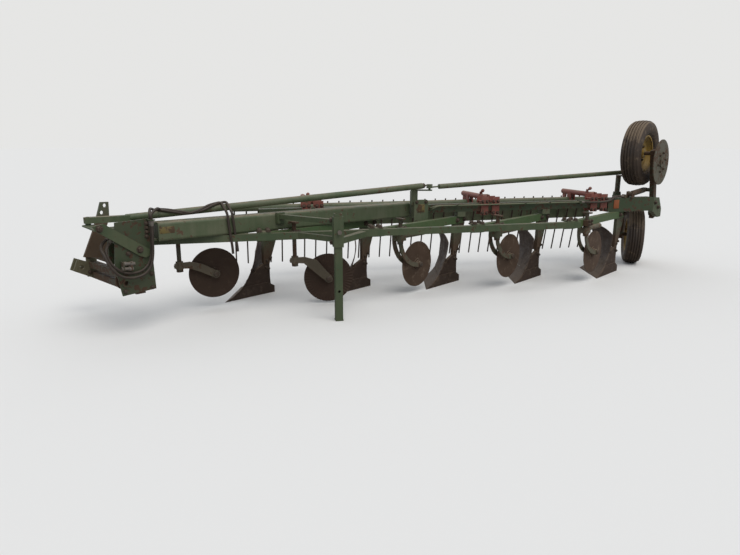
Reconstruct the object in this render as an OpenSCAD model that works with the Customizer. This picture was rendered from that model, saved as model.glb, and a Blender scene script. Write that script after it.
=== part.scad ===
// Five-bottom semi-mounted moldboard plough with a tined harrow bar, parked on its stand.
// Millimetres. Travel is along -Y, so +X is the landside, or left, and +Z is up.
// The plough is drawn from the first share's tip on the ground and then moved to the
// middle of its own outline.

/* [Plough bottoms] */
// Width of ground that each bottom turns
cut_w = 542; // [520:1:560]
// Travel distance from one share tip to the next
pitch_y = 859; // [840:1:880]
// Length of the landside side of a bottom, tip to heel
bottom_len = 590; // [570:1:620]
// Angle of the share's edge to the travel direction
share_deg = 41.6; // [40:0.2:43]
// Length of a share's cutting edge
share_len = 598; // [570:1:610]
// Height of the joint between share and moldboard
share_h = 110; // [100:1:118]
// Height of a moldboard's top above the ground
board_h = 520; // [490:1:540]
// Reach of a moldboard's wing behind the middle of the share
board_reach = 560; // [500:1:590]
// Thickness of the share at its joint
share_t = 10; // [8:0.5:12]
// Thickness of the moldboard
board_t = 8; // [6:0.5:10]
// Height of the landside plate
landside_h = 112; // [100:1:125]
// Thickness of the landside plate
landside_t = 12; // [10:0.5:14]
// Thickness of the frog plate and of the standard on it
standard_t = 35; // [30:1:40]

/* [Frame] */
// Underside of the bottom beams above the ground
beam_z = 640; // [630:1:650]
// Height of a bottom beam
beam_h = 77; // [70:1:84]
// Width of a bottom beam
beam_w = 64; // [56:1:70]
// Travel distance from a share tip forward to the front rail
rail_ahead = 770; // [750:1:790]
// Width of the front rail
rail_w = 66; // [56:1:76]
// Travel distance from a share tip back to the rear beam
rear_back = 580; // [570:1:590]
// Underside of the rear beam above the ground
rear_z = 770; // [760:1:780]
// Height of the rear beam
rear_h = 84; // [76:1:92]
// Width of the rear beam
rear_w = 100; // [90:1:104]
// Width of the tongue
tongue_w = 150; // [140:1:156]
// Height of the tongue
tongue_h = 152; // [140:1:160]
// Wall of the box sections
wall = 8; // [6:0.5:10]

/* [Hitch] */
// Height of the lower link eyes above the ground
link_z = 424; // [410:1:436]
// Bore of the lower link eyes
link_bore = 37; // [28:0.1:37.5]
// Distance over the outer faces of the two lower link eyes
link_span = 965; // [940:1:980]
// Diameter of the hitch's kingpin
king_d = 50; // [44:1:56]

/* [Coulters] */
// Diameter of a coulter disc
coulter_d = 460; // [440:1:470]
// Thickness of a coulter disc
coulter_t = 5; // [4:0.5:6]
// Height of a coulter's axle above the ground
coulter_z = 330; // [320:1:340]
// Distance that a coulter's axle trails its stem
coulter_trail = 310; // [300:1:320]
// Diameter of a coulter stem
stem_d = 38; // [34:1:42]

/* [Wheels] */
// Diameter of the tail wheel's tyre
tail_d = 720; // [700:1:730]
// Width of the tail wheel's tyre
tail_w = 200; // [180:1:210]
// Diameter of the raised wheel's tyre
lift_d = 760; // [740:1:770]
// Width of the raised wheel's tyre
lift_w = 220; // [200:1:224]
// Angle to which the tail wheel stands turned
tail_deg = 26; // [20:1:34]
// Diameter of the wheel spindles
spindle_d = 44; // [40:1:48]

/* [Stand] */
// Side of the stand's square tube
stand_s = 62; // [58:1:70]
// Height of the stand's top above the ground
stand_h = 920; // [900:1:940]

/* [Harrow] */
// Diameter of the harrow's tine bars
bar_d = 70; // [60:1:76]
// Distance from one tine to the next
tine_step = 127; // [118:1:140]
// Diameter of a tine
tine_d = 16; // [14:0.5:18]
// Angle by which the tines rake back from upright
tine_rake = 12; // [8:1:20]

/* [Steering] */
// Diameter of the steering rods
rod_d = 60; // [52:1:64]
// Diameter of the steering pins
rod_pin_d = 25; // [22:1:28]

/* [Hoses] */
// Diameter of the hoses
hose_d = 22; // [18:1:24]

/* [Hidden] */

// Middle of the plough's outline, seen from above, from the first share's tip
row_x = 829.37;
row_y = 1868.35;
// Smoothness of large and small rounds
$fn = 48;
// Running clearance on a pin's radius, and gap to a seat
run = 0.3;
seat = 0.3;

bottoms = [0, 1, 2, 3, 4];
// Angle of the frame line to the travel direction
skew = atan2(cut_w, pitch_y);
// Travel distance along the frame line from one bottom to the next
line_step = sqrt(cut_w * cut_w + pitch_y * pitch_y);
beam_top = beam_z + beam_h;
tongue_z = beam_top;
steel = [0.42, 0.36, 0.31];
green = [0.27, 0.42, 0.27];
dark = [0.2, 0.22, 0.18];
yellow = [0.85, 0.68, 0.15];
rubber = [0.16, 0.15, 0.14];
red = [0.6, 0.14, 0.14];

// Moves the plough from the first share's tip to the middle of its outline.
module on_row() translate([-row_x, -row_y, 0]) children();

// Place of bottom i, its share's tip at the origin.
module at_bottom(i) translate([i * cut_w, i * pitch_y, 0]) children();

// A line parallel to the frame, back from the tips: +Y runs along it and +X faces the landside.
module on_line(back) translate([0, back, 0]) rotate([0, 0, -skew]) children();

// A box with a hollow through its length along Y.
module box_y(w, l, h, t) {
    difference() {
        translate([-w / 2, 0, 0]) cube([w, l, h]);
        translate([t - w / 2, -1, t]) cube([w - 2 * t, l + 2, h - 2 * t]);
    }
}

// A cylinder along X, centred.
module rod_x(d, l) rotate([0, 90, 0]) cylinder(d = d, h = l, center = true);

// A cylinder along Y, centred.
module rod_y(d, l) rotate([90, 0, 0]) cylinder(d = d, h = l, center = true);

// A flat bar in the XY plane with round ends at two points.
module flat_bar(a, b, w, t) {
    d = b - a;
    len = norm(d);
    translate([a[0], a[1], 0]) rotate([0, 0, atan2(d[1], d[0])]) linear_extrude(t) union() {
        translate([0, -w / 2]) square([len, w]);
        circle(d = w);
        translate([len, 0]) circle(d = w);
    }
}

// A round bar from point a to point b.
module strut(a, b, d) {
    v = b - a;
    translate(a) rotate([0, acos(v[2] / norm(v)), atan2(v[1], v[0])]) cylinder(d = d, h = norm(v));
}

// The turning surface of a bottom: its slope grows on one arc up the share, and on a second
// arc up the moldboard. Its level lines lie at the share's angle and turn out towards the top.
edge_slope = 18;
joint_slope = 58;
top_slope = 92;
board_twist = 8;
share_arc = share_h / (cos(edge_slope) - cos(joint_slope));
board_arc = (board_h - share_h) / (cos(joint_slope) - cos(top_slope));
function slope(z) = z < share_h
    ? acos(cos(edge_slope) - z / share_arc)
    : acos(cos(joint_slope) - (z - share_h) / board_arc);
function set_back(z) = z < share_h
    ? share_arc * (sin(slope(z)) - sin(edge_slope))
    : share_arc * (sin(joint_slope) - sin(edge_slope)) + board_arc * (sin(slope(z)) - sin(joint_slope));
function level_deg(z) = share_deg
    + board_twist * pow(max(0, z - share_h) / (board_h - share_h), 3);
// Point of the surface on the line at height z, t along that line from the share's middle.
function mid_point(z) = [
    -sin(share_deg) * share_len / 2 + cos(share_deg) * set_back(z),
    cos(share_deg) * share_len / 2 + sin(share_deg) * set_back(z), z];
function on_board(z, t) = mid_point(z) + t * [-sin(level_deg(z)), cos(level_deg(z)), 0];
// Distance along the level line at which the surface meets a plane x = side.
function meets(z, side) = (mid_point(z)[0] - side) / sin(level_deg(z));
function out_of(z) = [
    -cos(level_deg(z)) * sin(slope(z)), -sin(level_deg(z)) * sin(slope(z)), cos(slope(z))];

// A curved plate from a grid of points on its back and the same grid on its face.
module shell(back, face) {
    rows = len(back);
    cols = len(back[0]);
    n = rows * cols;
    points = concat([for (r = back) each r], [for (r = face) each r]);
    function at(r, c) = r * cols + c;
    inner = [for (r = [0:rows - 2], c = [0:cols - 2]) each [
        [at(r, c), at(r, c + 1), at(r + 1, c + 1)],
        [at(r, c), at(r + 1, c + 1), at(r + 1, c)]]];
    outer = [for (f = inner) [n + f[0], n + f[2], n + f[1]]];
    rim = concat(
        [for (c = [0:cols - 1]) at(0, c)],
        [for (r = [1:rows - 1]) at(r, cols - 1)],
        [for (c = [cols - 2:-1:0]) at(rows - 1, c)],
        [for (r = [rows - 2:-1:1]) at(r, 0)]);
    m = len(rim);
    sides = [for (k = [0:m - 1]) each [
        [rim[k], n + rim[k], n + rim[(k + 1) % m]],
        [rim[k], n + rim[(k + 1) % m], rim[(k + 1) % m]]]];
    polyhedron(points, concat(inner, outer, sides));
}

board_rows = 9;
board_cols = 10;
// Moldboard outline: height of its top edge and reach of its tail, over a share of its width and height.
function board_top(a) = board_h - 70 + 70 * sin(150 * a);
function board_tail(b) = share_len / 2 + 40 + (board_reach - share_len / 2 - 40) * sin(90 * pow(b, 0.8));
function board_point(a, b) =
    let (z = share_h + 1 + b * (board_top(a) - share_h - 1), start = meets(z, -1))
    on_board(z, start + a * (board_tail(b) - start));

module moldboard_shape() {
    back = [for (r = [0:board_rows]) [for (c = [0:board_cols]) board_point(c / board_cols, r / board_rows)]];
    face = [for (r = back) [for (p = r) p + board_t * out_of(p[2])]];
    shell(back, face);
}

share_rows = 4;
share_cols = 6;
module share_shape() {
    back = [for (r = [0:share_rows]) [for (c = [0:share_cols])
        let (z = r / share_rows * (share_h - 1), start = meets(z, 0),
             stop = share_len / 2 + 40 * z / share_h)
        on_board(z, start + c / share_cols * (stop - start))]];
    face = [for (r = [0:share_rows]) [for (p = back[r])
        p + (2 + (share_t - 2) * min(1, r * 2 / share_rows)) * out_of(p[2])]];
    shell(back, face);
}

module shares() {
    color(steel) on_row() for (i = bottoms) at_bottom(i) share_shape();
}

module moldboards() {
    color(steel) on_row() for (i = bottoms) at_bottom(i) moldboard_shape();
}

// Distance behind the tip at which the surface's back stands in the plane x = -side.
function board_y(z, side) = on_board(z, meets(z, -side))[1];

standard_x = -landside_t - seat - standard_t;
frog_top = 300;
frog_rear = bottom_len - 38;
standard_foot = [478, 548];
module frog_shape() {
    frog_z = [12, 60, 110, 160, 210, 260];
    translate([standard_x, 0, 0]) rotate([90, 0, 90]) linear_extrude(standard_t) polygon(concat(
        [for (z = frog_z) [board_y(z, -standard_x) + 12, z]],
        [[standard_foot[0], frog_top], [standard_foot[1], frog_top],
         [frog_rear - 6, landside_h + 60], [frog_rear, landside_h - 20], [frog_rear, 12]]));
    // Seat that follows the back of share and moldboard
    seat_t = 45;
    seat_z = concat([for (r = [1:share_rows]) r / share_rows * (share_h - 1)], [140, 170, 200, 230]);
    last = len(seat_z) - 1;
    face = [for (k = [0:last]) [set_back(seat_z[k]) + (seat_z[k] < share_h ? 0.5 : 1.2), seat_z[k]]];
    rear = [for (k = [0:last]) let (z = seat_z[last - k]) [set_back(z) + seat_t, z]];
    intersection() {
        translate([-sin(share_deg) * share_len / 2, cos(share_deg) * share_len / 2, 0])
            rotate([0, 0, share_deg]) rotate([90, 0, 0]) linear_extrude(260, center = true) polygon(concat(face, rear));
        translate([-300, 0, 0]) cube([300 - landside_t - seat, bottom_len, frog_top]);
    }
}

module frogs() {
    color(steel) on_row() for (i = bottoms) at_bottom(i) frog_shape();
}

module landsides() {
    land_z = [0, 25, 55, 85, landside_h];
    color(steel) on_row() for (i = bottoms) at_bottom(i)
        translate([-landside_t, 0, 0]) rotate([90, 0, 90]) linear_extrude(landside_t) polygon(concat(
            [for (z = land_z) [board_y(z, landside_t) + 4, z]],
            [[bottom_len - 75, landside_h], [bottom_len, landside_h - 45], [bottom_len, 0]]));
}

module standards() {
    color(green) on_row() for (i = bottoms) at_bottom(i)
        translate([standard_x, 0, 0]) rotate([90, 0, 90]) linear_extrude(standard_t) polygon([
            [standard_foot[0], frog_top], [standard_foot[1], frog_top], [680, beam_z], [480, beam_z]]);
}

// Front rail and the line of its rear face
rail_z = 656;
rail_top = beam_top;
rail_start = -60;
rail_end = 4150;
module rail_space(gap) {
    on_line(-rail_ahead) translate([-rail_w / 2 - gap, rail_start - 200, 0])
        cube([rail_w + 2 * gap, rail_end - rail_start + 400, 2000]);
}

module front_rail() {
    color(green) on_row() on_line(-rail_ahead) translate([0, rail_start, rail_z])
        box_y(rail_w, rail_end - rail_start, rail_top - rail_z, wall);
}

beam_tail = 650;
module bottom_beams() {
    color(green) on_row() for (i = bottoms) at_bottom(i) difference() {
        translate([standard_x + standard_t / 2, -rail_ahead - 100, beam_z])
            box_y(beam_w, rail_ahead + 100 + beam_tail, beam_h, wall);
        translate([-i * cut_w, -i * pitch_y, 0]) {
            rail_space(seat);
            on_line(-rail_ahead) translate([0, rail_start - 200, 0])
                cube([400, rail_end - rail_start + 400, 2000]);
        }
    }
}

// Tongue: a long box beam that leans out to the landside towards the rear
tongue_front = [230, -745];
tongue_deg = 9.5;
tongue_len = 2640;
tongue_r = 22;
king = [190, -870];
lug_t = 16;
module on_tongue() translate([tongue_front[0], tongue_front[1], tongue_z]) rotate([0, 0, -tongue_deg]) children();

module tongue_section(w, h, r) {
    union() {
        translate([-w / 2 + r, 0]) square([w - 2 * r, h]);
        translate([-w / 2, r]) square([w, h - 2 * r]);
        for (x = [-w / 2 + r, w / 2 - r], y = [r, h - r]) translate([x, y]) circle(r = r);
    }
}

module tongue() {
    color(green) on_row() {
        on_tongue() rotate([90, 0, 0]) mirror([0, 0, 1]) linear_extrude(tongue_len) difference() {
            tongue_section(tongue_w, tongue_h, tongue_r);
            translate([0, wall]) tongue_section(tongue_w - 2 * wall, tongue_h - 2 * wall, tongue_r - wall);
        }
        // Plate that closes the front end
        on_tongue() translate([-tongue_w / 2 + 3, -1, 4]) cube([tongue_w - 6, 11, tongue_h - 8]);
        // Lugs above and below the kingpin
        for (z = [tongue_z + 2, tongue_z + tongue_h - lug_t - 2]) translate([0, 0, z])
            flat_bar(king, [king[0] + 25, tongue_front[1] + 60], 96, lug_t);
        translate([king[0], king[1], tongue_z - 17]) cylinder(d = king_d, h = tongue_h + 14);
        translate([king[0], king[1], tongue_z - 18]) cylinder(d = king_d + 24, h = 14);
    }
}

// Rear beam: a short stretch on the far side of the tongue and a long one to the tail
cover_s = tongue_len - 1160;
cover_len = 160;
tail_s = [3815, 4430];
end_z = beam_top;
end_h = 155;
end_w = 130;
module tongue_space(gap) {
    on_tongue() translate([-tongue_w / 2 - gap, -100, -200]) cube([tongue_w + 2 * gap, tongue_len + 100 + gap, 600]);
}

module rear_beam() {
    color(green) on_row() {
        difference() {
            on_line(rear_back) translate([0, -120, rear_z]) box_y(rear_w, cover_s, rear_h, wall);
            tongue_space(seat);
            translate([tongue_front[0], 0, 0]) rotate([0, 0, -tongue_deg])
                translate([0, -1000, 0]) cube([2000, 6000, 2000]);
        }
        on_line(rear_back) translate([0, cover_s + cover_len, rear_z])
            box_y(rear_w, tail_s[0] - cover_s - cover_len, rear_h, wall);
        on_line(rear_back) translate([0, tail_s[0], end_z]) box_y(end_w, tail_s[1] - tail_s[0], end_h, wall);
        // Block that the tail hoses come out of
        on_line(rear_back) translate([rear_w / 2 - 1, 3420, 824]) cube([60, 19.7, 36]);
    }
}

// Blocks that carry the rear beam on the bottom beams, and brackets at the front rail
module beam_clamps() {
    pad = 90;
    plate_t = 12;
    color(green) on_row() difference() {
        union() {
            for (i = [0, 2, 3]) on_line(rear_back) translate([-rear_w / 2, i * line_step - pad / 2 - 10, beam_top])
                cube([rear_w, pad, rear_z - beam_top]);
            for (i = bottoms) on_line(-rail_ahead) translate([-rail_w / 2 - 60, i * line_step - 60, beam_top])
                cube([rail_w + 56, 120, plate_t]);
        }
        tongue_space(seat);
    }
}

// Stems of the coulters, clamped to the landside of each beam
stem_x = standard_x + standard_t / 2 + beam_w / 2 + stem_d / 2 + seat;
stem_ahead = 450;
// Coulters: bottom, kind of arm (0 cast side arm, 1 yoke), castor angle at rest, foot of the stem,
// height of the axle
COULTERS = [[0, 0, 18, 400, coulter_z], [1, 0, 38, 400, coulter_z - 80], [2, 1, 0, 560, coulter_z - 35],
    [3, 1, 0, 560, coulter_z], [4, 1, 0, 560, coulter_z]];
stem_top = 790;
nut_h = 22;
module coulter_stems() {
    color(dark) on_row() for (c = COULTERS) at_bottom(c[0]) translate([stem_x, -stem_ahead, 0]) {
        translate([0, 0, c[3]]) cylinder(d = stem_d, h = stem_top - c[3]);
        translate([0, 0, c[3] - nut_h]) cylinder(d = stem_d + 20, h = nut_h);
        translate([0, 0, stem_top - 14]) linear_extrude(14) translate([-45, -22]) square([90, 44]);
        // Clamp block round the stem beside the beam
        difference() {
            translate([-stem_d / 2 + 1, -45, beam_z + 8]) cube([stem_d + 16, 90, beam_h - 16]);
            translate([0, 0, beam_z]) cylinder(d = stem_d - 1, h = beam_h);
        }
    }
}

sleeve_h = 70;
sleeve_d = stem_d + 26;
axle_d = 28;
disc_off = -38;
hub_w = 56;
// Frame of a coulter: stem at the origin, trailing along +Y at its rest angle.
module at_coulter(c) on_row() at_bottom(c[0]) translate([stem_x, -stem_ahead, 0]) rotate([0, 0, -c[2]]) children();

// Band of a cheek that curves down from the sleeve to the axle: half the ellipse's quarter at a time
function cheek_arc(reach, drop, w) = concat(
    [for (t = [180:10:270]) [reach + (reach + w / 2) * cos(t), (drop + w / 2) * sin(t)]],
    [for (t = [270:-10:180]) [reach + (reach - w / 2) * cos(t), (drop - w / 2) * sin(t)]]);

module coulter_arm(c) {
    side = disc_off + hub_w / 2 + 8;
    axle_z = c[4];
    color(dark) at_coulter(c) difference() {
        union() {
            translate([0, 0, c[3] + 1]) cylinder(d = sleeve_d, h = sleeve_h);
            if (c[1] == 0) {
                // Cast arm that drops from a blunt nose at the sleeve to the axle on the landside
                translate([side, 0, 0]) rotate([90, 0, 90]) linear_extrude(26) polygon([
                    [-46, c[3] + 14], [-50, c[3] + 34], [-40, c[3] + 56], [90, c[3] + 62], [200, c[3] + 30],
                    [coulter_trail + 28, axle_z + 20], [coulter_trail + 28, axle_z - 24],
                    [coulter_trail - 20, axle_z - 28], [170, c[3] - 34 + (axle_z - coulter_z) / 2], [80, c[3] + 4]]);
                translate([side + 13, coulter_trail, axle_z]) rod_x(70, 34);
            } else {
                cheek_z = c[3] + 30;
                // Cross tube above the disc, and a curved cheek on each side of it
                tube_z = max(c[3] + 52, axle_z + coulter_d / 2 + 40);
                translate([-24, 0, c[3] + 10]) cube([48, 60, tube_z - c[3] + 14]);
                translate([disc_off / 2, 40 + coulter_trail / 2, tube_z]) rod_y(54, coulter_trail + 60);
                for (s = [-1, 1]) translate([disc_off + s * (hub_w / 2 + 12) - 8, 0, cheek_z]) {
                    rotate([90, 0, 90]) linear_extrude(16)
                        polygon(cheek_arc(coulter_trail, cheek_z - axle_z, 46));
                    translate([8, coulter_trail, axle_z - cheek_z]) rod_x(60, 22);
                }
                translate([disc_off - hub_w / 2 - 20, -22, c[3] + 6]) cube([hub_w + 40, 44, 60]);
            }
            translate([disc_off, coulter_trail, axle_z]) rod_x(axle_d, hub_w + 50);
            translate([disc_off - hub_w / 2 - (c[1] == 0 ? 14 : 30), coulter_trail, axle_z]) rod_x(axle_d + 20, 16);
        }
        translate([0, 0, c[3] - 1]) cylinder(d = stem_d + 2 * run, h = sleeve_h + 14);
        if (c[1] == 1) translate([0, 0, c[3] - nut_h - 4]) cylinder(d = stem_d + 30, h = nut_h + 5);
    }
}

module coulter_disc(c) {
    color(steel) at_coulter(c) translate([disc_off, coulter_trail, c[4]]) difference() {
        union() {
            rod_x(coulter_d, coulter_t);
            rod_x(110, 24);
            rod_x(74, hub_w - 4);
        }
        rod_x(axle_d + 2 * run, hub_w + 10);
    }
}

module coulter_arm_1() coulter_arm(COULTERS[0]);
module coulter_arm_2() coulter_arm(COULTERS[1]);
module coulter_arm_3() coulter_arm(COULTERS[2]);
module coulter_arm_4() coulter_arm(COULTERS[3]);
module coulter_arm_5() coulter_arm(COULTERS[4]);
module coulter_disc_1() coulter_disc(COULTERS[0]);
module coulter_disc_2() coulter_disc(COULTERS[1]);
module coulter_disc_3() coulter_disc(COULTERS[2]);
module coulter_disc_4() coulter_disc(COULTERS[3]);
module coulter_disc_5() coulter_disc(COULTERS[4]);

// Jack stand on the landside, carried by two arms from the tongue and a strut to the rail
stand = [1193, 364];
sleeve_z = 640;
sleeve_len = 255;
sleeve_t = 9;
bolt_z = 770;
bolt_d = 22;
arm_root = [483, 310];
// The stand's tube and sleeve lie square to the frame line
module at_stand() on_row() translate([stand[0], stand[1], 0]) rotate([0, 0, -skew]) children();
hinge_w = 46;
hinge_mid = stand_s / 2 + sleeve_t + 1 + hinge_w / 2;
hinge = [stand[0] - hinge_mid * cos(skew), stand[1] + hinge_mid * sin(skew)];
module outrigger() {
    low_x = cut_w + standard_x + standard_t / 2 + beam_w / 2 + seat;
    color(green) {
        at_stand() {
            // Sleeve round the stand's tube
            translate([0, 0, sleeve_z]) difference() {
                translate([-stand_s / 2 - sleeve_t - 1, -stand_s / 2 - sleeve_t - 1, 0])
                    cube([stand_s + 2 * sleeve_t + 2, stand_s + 2 * sleeve_t + 2, sleeve_len]);
                translate([-stand_s / 2 - 1, -stand_s / 2 - 1, -1]) cube([stand_s + 2, stand_s + 2, sleeve_len + 2]);
                translate([60, 0, bolt_z - sleeve_z]) rod_x(bolt_d, 100);
            }
            // Block between the arms and the sleeve
            translate([-hinge_mid - hinge_w / 2, -32, sleeve_z + 5]) cube([hinge_w, 64, sleeve_len - 20]);
        }
        on_row() {
            // Upper and lower arm
            translate([0, 0, tongue_z + 104]) linear_extrude(40) polygon([
                [arm_root[0] + 14, arm_root[1] - 24], [hinge[0] + 8, hinge[1] - 22],
                [hinge[0] + 8, hinge[1] + 22], [arm_root[0] + 14, arm_root[1] + 24]]);
            difference() {
                translate([0, 0, beam_z + 30]) linear_extrude(46) polygon([
                    [low_x, arm_root[1] - 16], [hinge[0] + 8, hinge[1] - 22],
                    [hinge[0] + 8, hinge[1] + 22], [low_x, arm_root[1] + 24]]);
                on_line(-rail_ahead) translate([rail_w / 2 + seat - 2000, -500, 0]) cube([2000, 6000, 2000]);
            }
            // Bracket on the tongue's side
            difference() {
                translate([arm_root[0] - 40, arm_root[1] - 42, tongue_z + 62]) cube([66, 84, tongue_h - 54]);
                tongue_space(seat);
            }
            // Strut back to the front rail
            difference() {
                translate([0, 0, rail_z + 6]) linear_extrude(50) polygon([
                    [stand[0] - 20, stand[1] + stand_s / 2 + sleeve_t - 6], [stand[0] + 20, stand[1] + stand_s / 2 + sleeve_t - 6],
                    [stand[0] - 95, stand[1] + 440], [stand[0] - 160, stand[1] + 440], [stand[0] - 152, stand[1] + 380]]);
                translate([stand[0], stand[1], 0]) rotate([0, 0, -skew])
                    translate([-stand_s / 2 - 5, -stand_s / 2 - 5, 0]) cube([stand_s + 10, stand_s + 10, stand_h]);
            }
        }
    }
}

module stand_leg() {
    color(green) at_stand() difference() {
        union() {
            translate([-stand_s / 2, -stand_s / 2, 6]) cube([stand_s, stand_s, stand_h - 6]);
            translate([-stand_s / 2 - 3, -stand_s / 2 - 3, 0]) cube([stand_s + 6, stand_s + 6, 10]);
        }
        translate([-stand_s / 2 + 6, -stand_s / 2 + 6, 12]) cube([stand_s - 12, stand_s - 12, stand_h]);
        translate([0, 0, 260]) rod_x(24, 200);
    }
}

// Set bolt that clamps the stand's tube in its sleeve
module stand_bolt() {
    shank = sleeve_t + 30;
    color("silver") at_stand() translate([stand_s / 2 + seat, 0, bolt_z]) {
        translate([shank / 2, 0, 0]) rod_x(bolt_d - 2 * seat, shank);
        translate([shank, 0, 0]) rod_x(36, 14);
    }
}

// Junction of tongue and rear beam, its rounded cover plate, and the post of the steering idler
post_s = cover_s + 12;
post_w = 64;
post_top = 1000;
idler_t = 13;
function along_line(back, s, off) = [s * sin(skew) + off * cos(skew), back + s * cos(skew) - off * sin(skew)];
post_xy = along_line(rear_back, post_s, 4);
module pivot_cover() {
    cover_w = 152;
    cover_t = 14;
    cover_z = 650;
    cover_top = 910;
    color(green) on_row() {
        on_line(rear_back) translate([rear_w / 2, cover_s, 0]) rotate([90, 0, 90]) linear_extrude(cover_t)
            translate([cover_w / 2, cover_z]) tongue_section(cover_w, cover_top - cover_z, 24);
        difference() {
            on_line(rear_back) translate([-200, cover_s, tongue_z]) cube([200 + rear_w / 2, cover_len, rear_z + rear_h - tongue_z]);
            tongue_space(0);
        }
        on_line(rear_back) translate([4 - post_w / 2, post_s - post_w / 2, rear_z + rear_h - 1])
            cube([post_w, post_w, post_top - rear_z - rear_h + 1]);
        translate([post_xy[0], post_xy[1], post_top - 1]) cylinder(d = rod_pin_d, h = idler_t + 4);
    }
}

// Tail wheel: column in a bearing beside the end box, stub axle to the landside
column_s = 4365;
column_off = -520;
column = along_line(rear_back, column_s, column_off);
column_d = 60;
lever_z = 1083;
lever_len = 120;
module at_column() on_row() translate([column[0], column[1], 0]) rotate([0, 0, tail_deg]) children();

module tail_bearing() {
    reach = 22 - column_off;
    color(green) on_row() difference() {
        union() {
            translate([column[0], column[1], end_z]) cylinder(d = column_d + 36, h = end_h);
            on_line(rear_back) translate([-reach, column_s - 50, end_z + 25]) cube([reach - end_w / 2, 100, end_h - 45]);
        }
        translate([column[0], column[1], end_z - 1]) cylinder(d = column_d + 2 * run, h = end_h + 2);
    }
}

wheel_off = 230;
module tail_fork() {
    leg_x = 8;
    leg_w = 100;
    color(green) at_column() {
        translate([0, 0, end_z - 60]) cylinder(d = column_d, h = lever_z - end_z + 60);
        translate([0, 0, end_z - 26]) cylinder(d = column_d + 40, h = 25);
        translate([0, 0, end_z + end_h + 1]) cylinder(d = column_d + 30, h = 20);
        // Wide leg beside the wheel, its sides drawn in towards the axle
        translate([-46, -60, end_z - 50]) cube([leg_x + leg_w + 46, 120, 24]);
        translate([leg_x, 0, 0]) rotate([90, 0, 90]) linear_extrude(leg_w) polygon([
            [-60, end_z - 49], [-60, 520], [-44, tail_d / 2 - 50], [44, tail_d / 2 - 50], [60, 520], [60, end_z - 49]]);
        translate([(wheel_off + 80) / 2, 0, tail_d / 2]) rod_x(spindle_d, wheel_off + 40);
        // Steering lever with its stud
        translate([0, 0, lever_z]) flat_bar([0, 0], [lever_len, 0], 60, 16);
        translate([lever_len, 0, lever_z + 15]) cylinder(d = rod_pin_d, h = rod_rear[2] - 12 - lever_z - 15);
    }
}

// A pressed wheel disc with its rim, axis along X, hub bore for the spindle.
module wheel_rim(rim_d, rim_w) {
    difference() {
        rotate([0, 90, 0]) rotate_extrude($fn = 72) polygon([
            [spindle_d / 2 + run, -50], [56, -50], [56, -12], [rim_d / 2 - 40, 10], [rim_d / 2 - 22, -rim_w / 2 + 30],
            [rim_d / 2 - 8, -rim_w / 2 + 14], [rim_d / 2 - 8, -rim_w / 2], [rim_d / 2 + 12, -rim_w / 2],
            [rim_d / 2 + 12, -rim_w / 2 + 6], [rim_d / 2, -rim_w / 2 + 8], [rim_d / 2, rim_w / 2 - 8],
            [rim_d / 2 + 12, rim_w / 2 - 6], [rim_d / 2 + 12, rim_w / 2], [rim_d / 2 - 8, rim_w / 2],
            [rim_d / 2 - 8, rim_w / 2 - 14], [rim_d / 2 - 22, rim_w / 2 - 30], [rim_d / 2 - 40, 24],
            [56, 2], [56, 50], [spindle_d / 2 + run, 50]]);
    }
}

// A tyre's outline from bead to tread, axis along X.
module tyre(out_d, w, rim_d, rim_w) {
    r = out_d / 2;
    b = rim_d / 2 + seat;
    rotate([0, 90, 0]) rotate_extrude($fn = 96) polygon([
        [b, -rim_w / 2 + 10], [b, rim_w / 2 - 10], [b + 14, rim_w / 2 - 8], [(r + b) / 2, w / 2], [r - 30, w / 2 - 8],
        [r - 8, w / 2 - 26], [r, w / 2 - 60], [r, -w / 2 + 60], [r - 8, -w / 2 + 26], [r - 30, -w / 2 + 8],
        [(r + b) / 2, -w / 2], [b + 14, -rim_w / 2 + 8]]);
}

rim_d = 400;
rim_w = 150;
module at_tail_wheel() at_column() translate([wheel_off, 0, tail_d / 2]) children();
module tail_rim() color(yellow) at_tail_wheel() wheel_rim(rim_d - 20, rim_w);
module tail_tyre() color(rubber) at_tail_wheel() tyre(tail_d, tail_w, rim_d - 20, rim_w);

// Lift arm and its raised wheel
pivot = [2315, 4610, 660];
lift_wheel = [2160, 4430, 1370];
pivot_d = 50;
arm_w = 50;
arm_gap = 6;
module lift_bracket() {
    plate_x = pivot[0] + arm_w / 2 + arm_gap;
    color(green) on_row() {
        difference() {
            translate([plate_x, 0, 0]) rotate([90, 0, 90]) linear_extrude(50) polygon([
                [pivot[1] - 320, end_z + 10], [pivot[1] - 320, end_z + end_h], [pivot[1] - 60, end_z + end_h - 20],
                [pivot[1] + 50, pivot[2] + 50], [pivot[1] + 50, pivot[2] - 45], [pivot[1] - 50, pivot[2] - 45]]);
            on_line(rear_back) translate([-end_w / 2 - 600, tail_s[0] - 300, 0])
                cube([end_w + 1200, tail_s[1] - tail_s[0] + 300, 2000]);
        }
        translate([plate_x - 32, pivot[1], pivot[2]]) rod_x(pivot_d, 84);
        translate([plate_x - arm_gap - arm_w - 7, pivot[1], pivot[2]]) rod_x(pivot_d + 24, 12);
    }
}

module lift_arm() {
    axle = lift_wheel - pivot;
    lean = atan2(axle[1], axle[2]);
    color(green) on_row() translate(pivot) {
        difference() {
            rotate([-lean, 0, 0]) translate([-arm_w / 2, -45, -60])
                cube([arm_w, 90, norm([axle[1], axle[2]]) + 100]);
            rod_x(pivot_d + 2 * run, 100);
        }
        translate([axle[0] / 2 - 30, axle[1], axle[2]]) rod_x(spindle_d, -axle[0] + 60);
        translate([disc_place[0] / 2 - pivot[0] / 2 + 12, axle[1], disc_place[2] - pivot[2]])
            rod_x(spindle_d - 8, disc_place[0] - pivot[0] + 30);
        translate([-arm_w / 2 - eye_boss / 2 + 1, cyl_eye[1] - pivot[1], cyl_eye[2] - pivot[2]]) rod_x(44, eye_boss + 2);
    }
}

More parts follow.
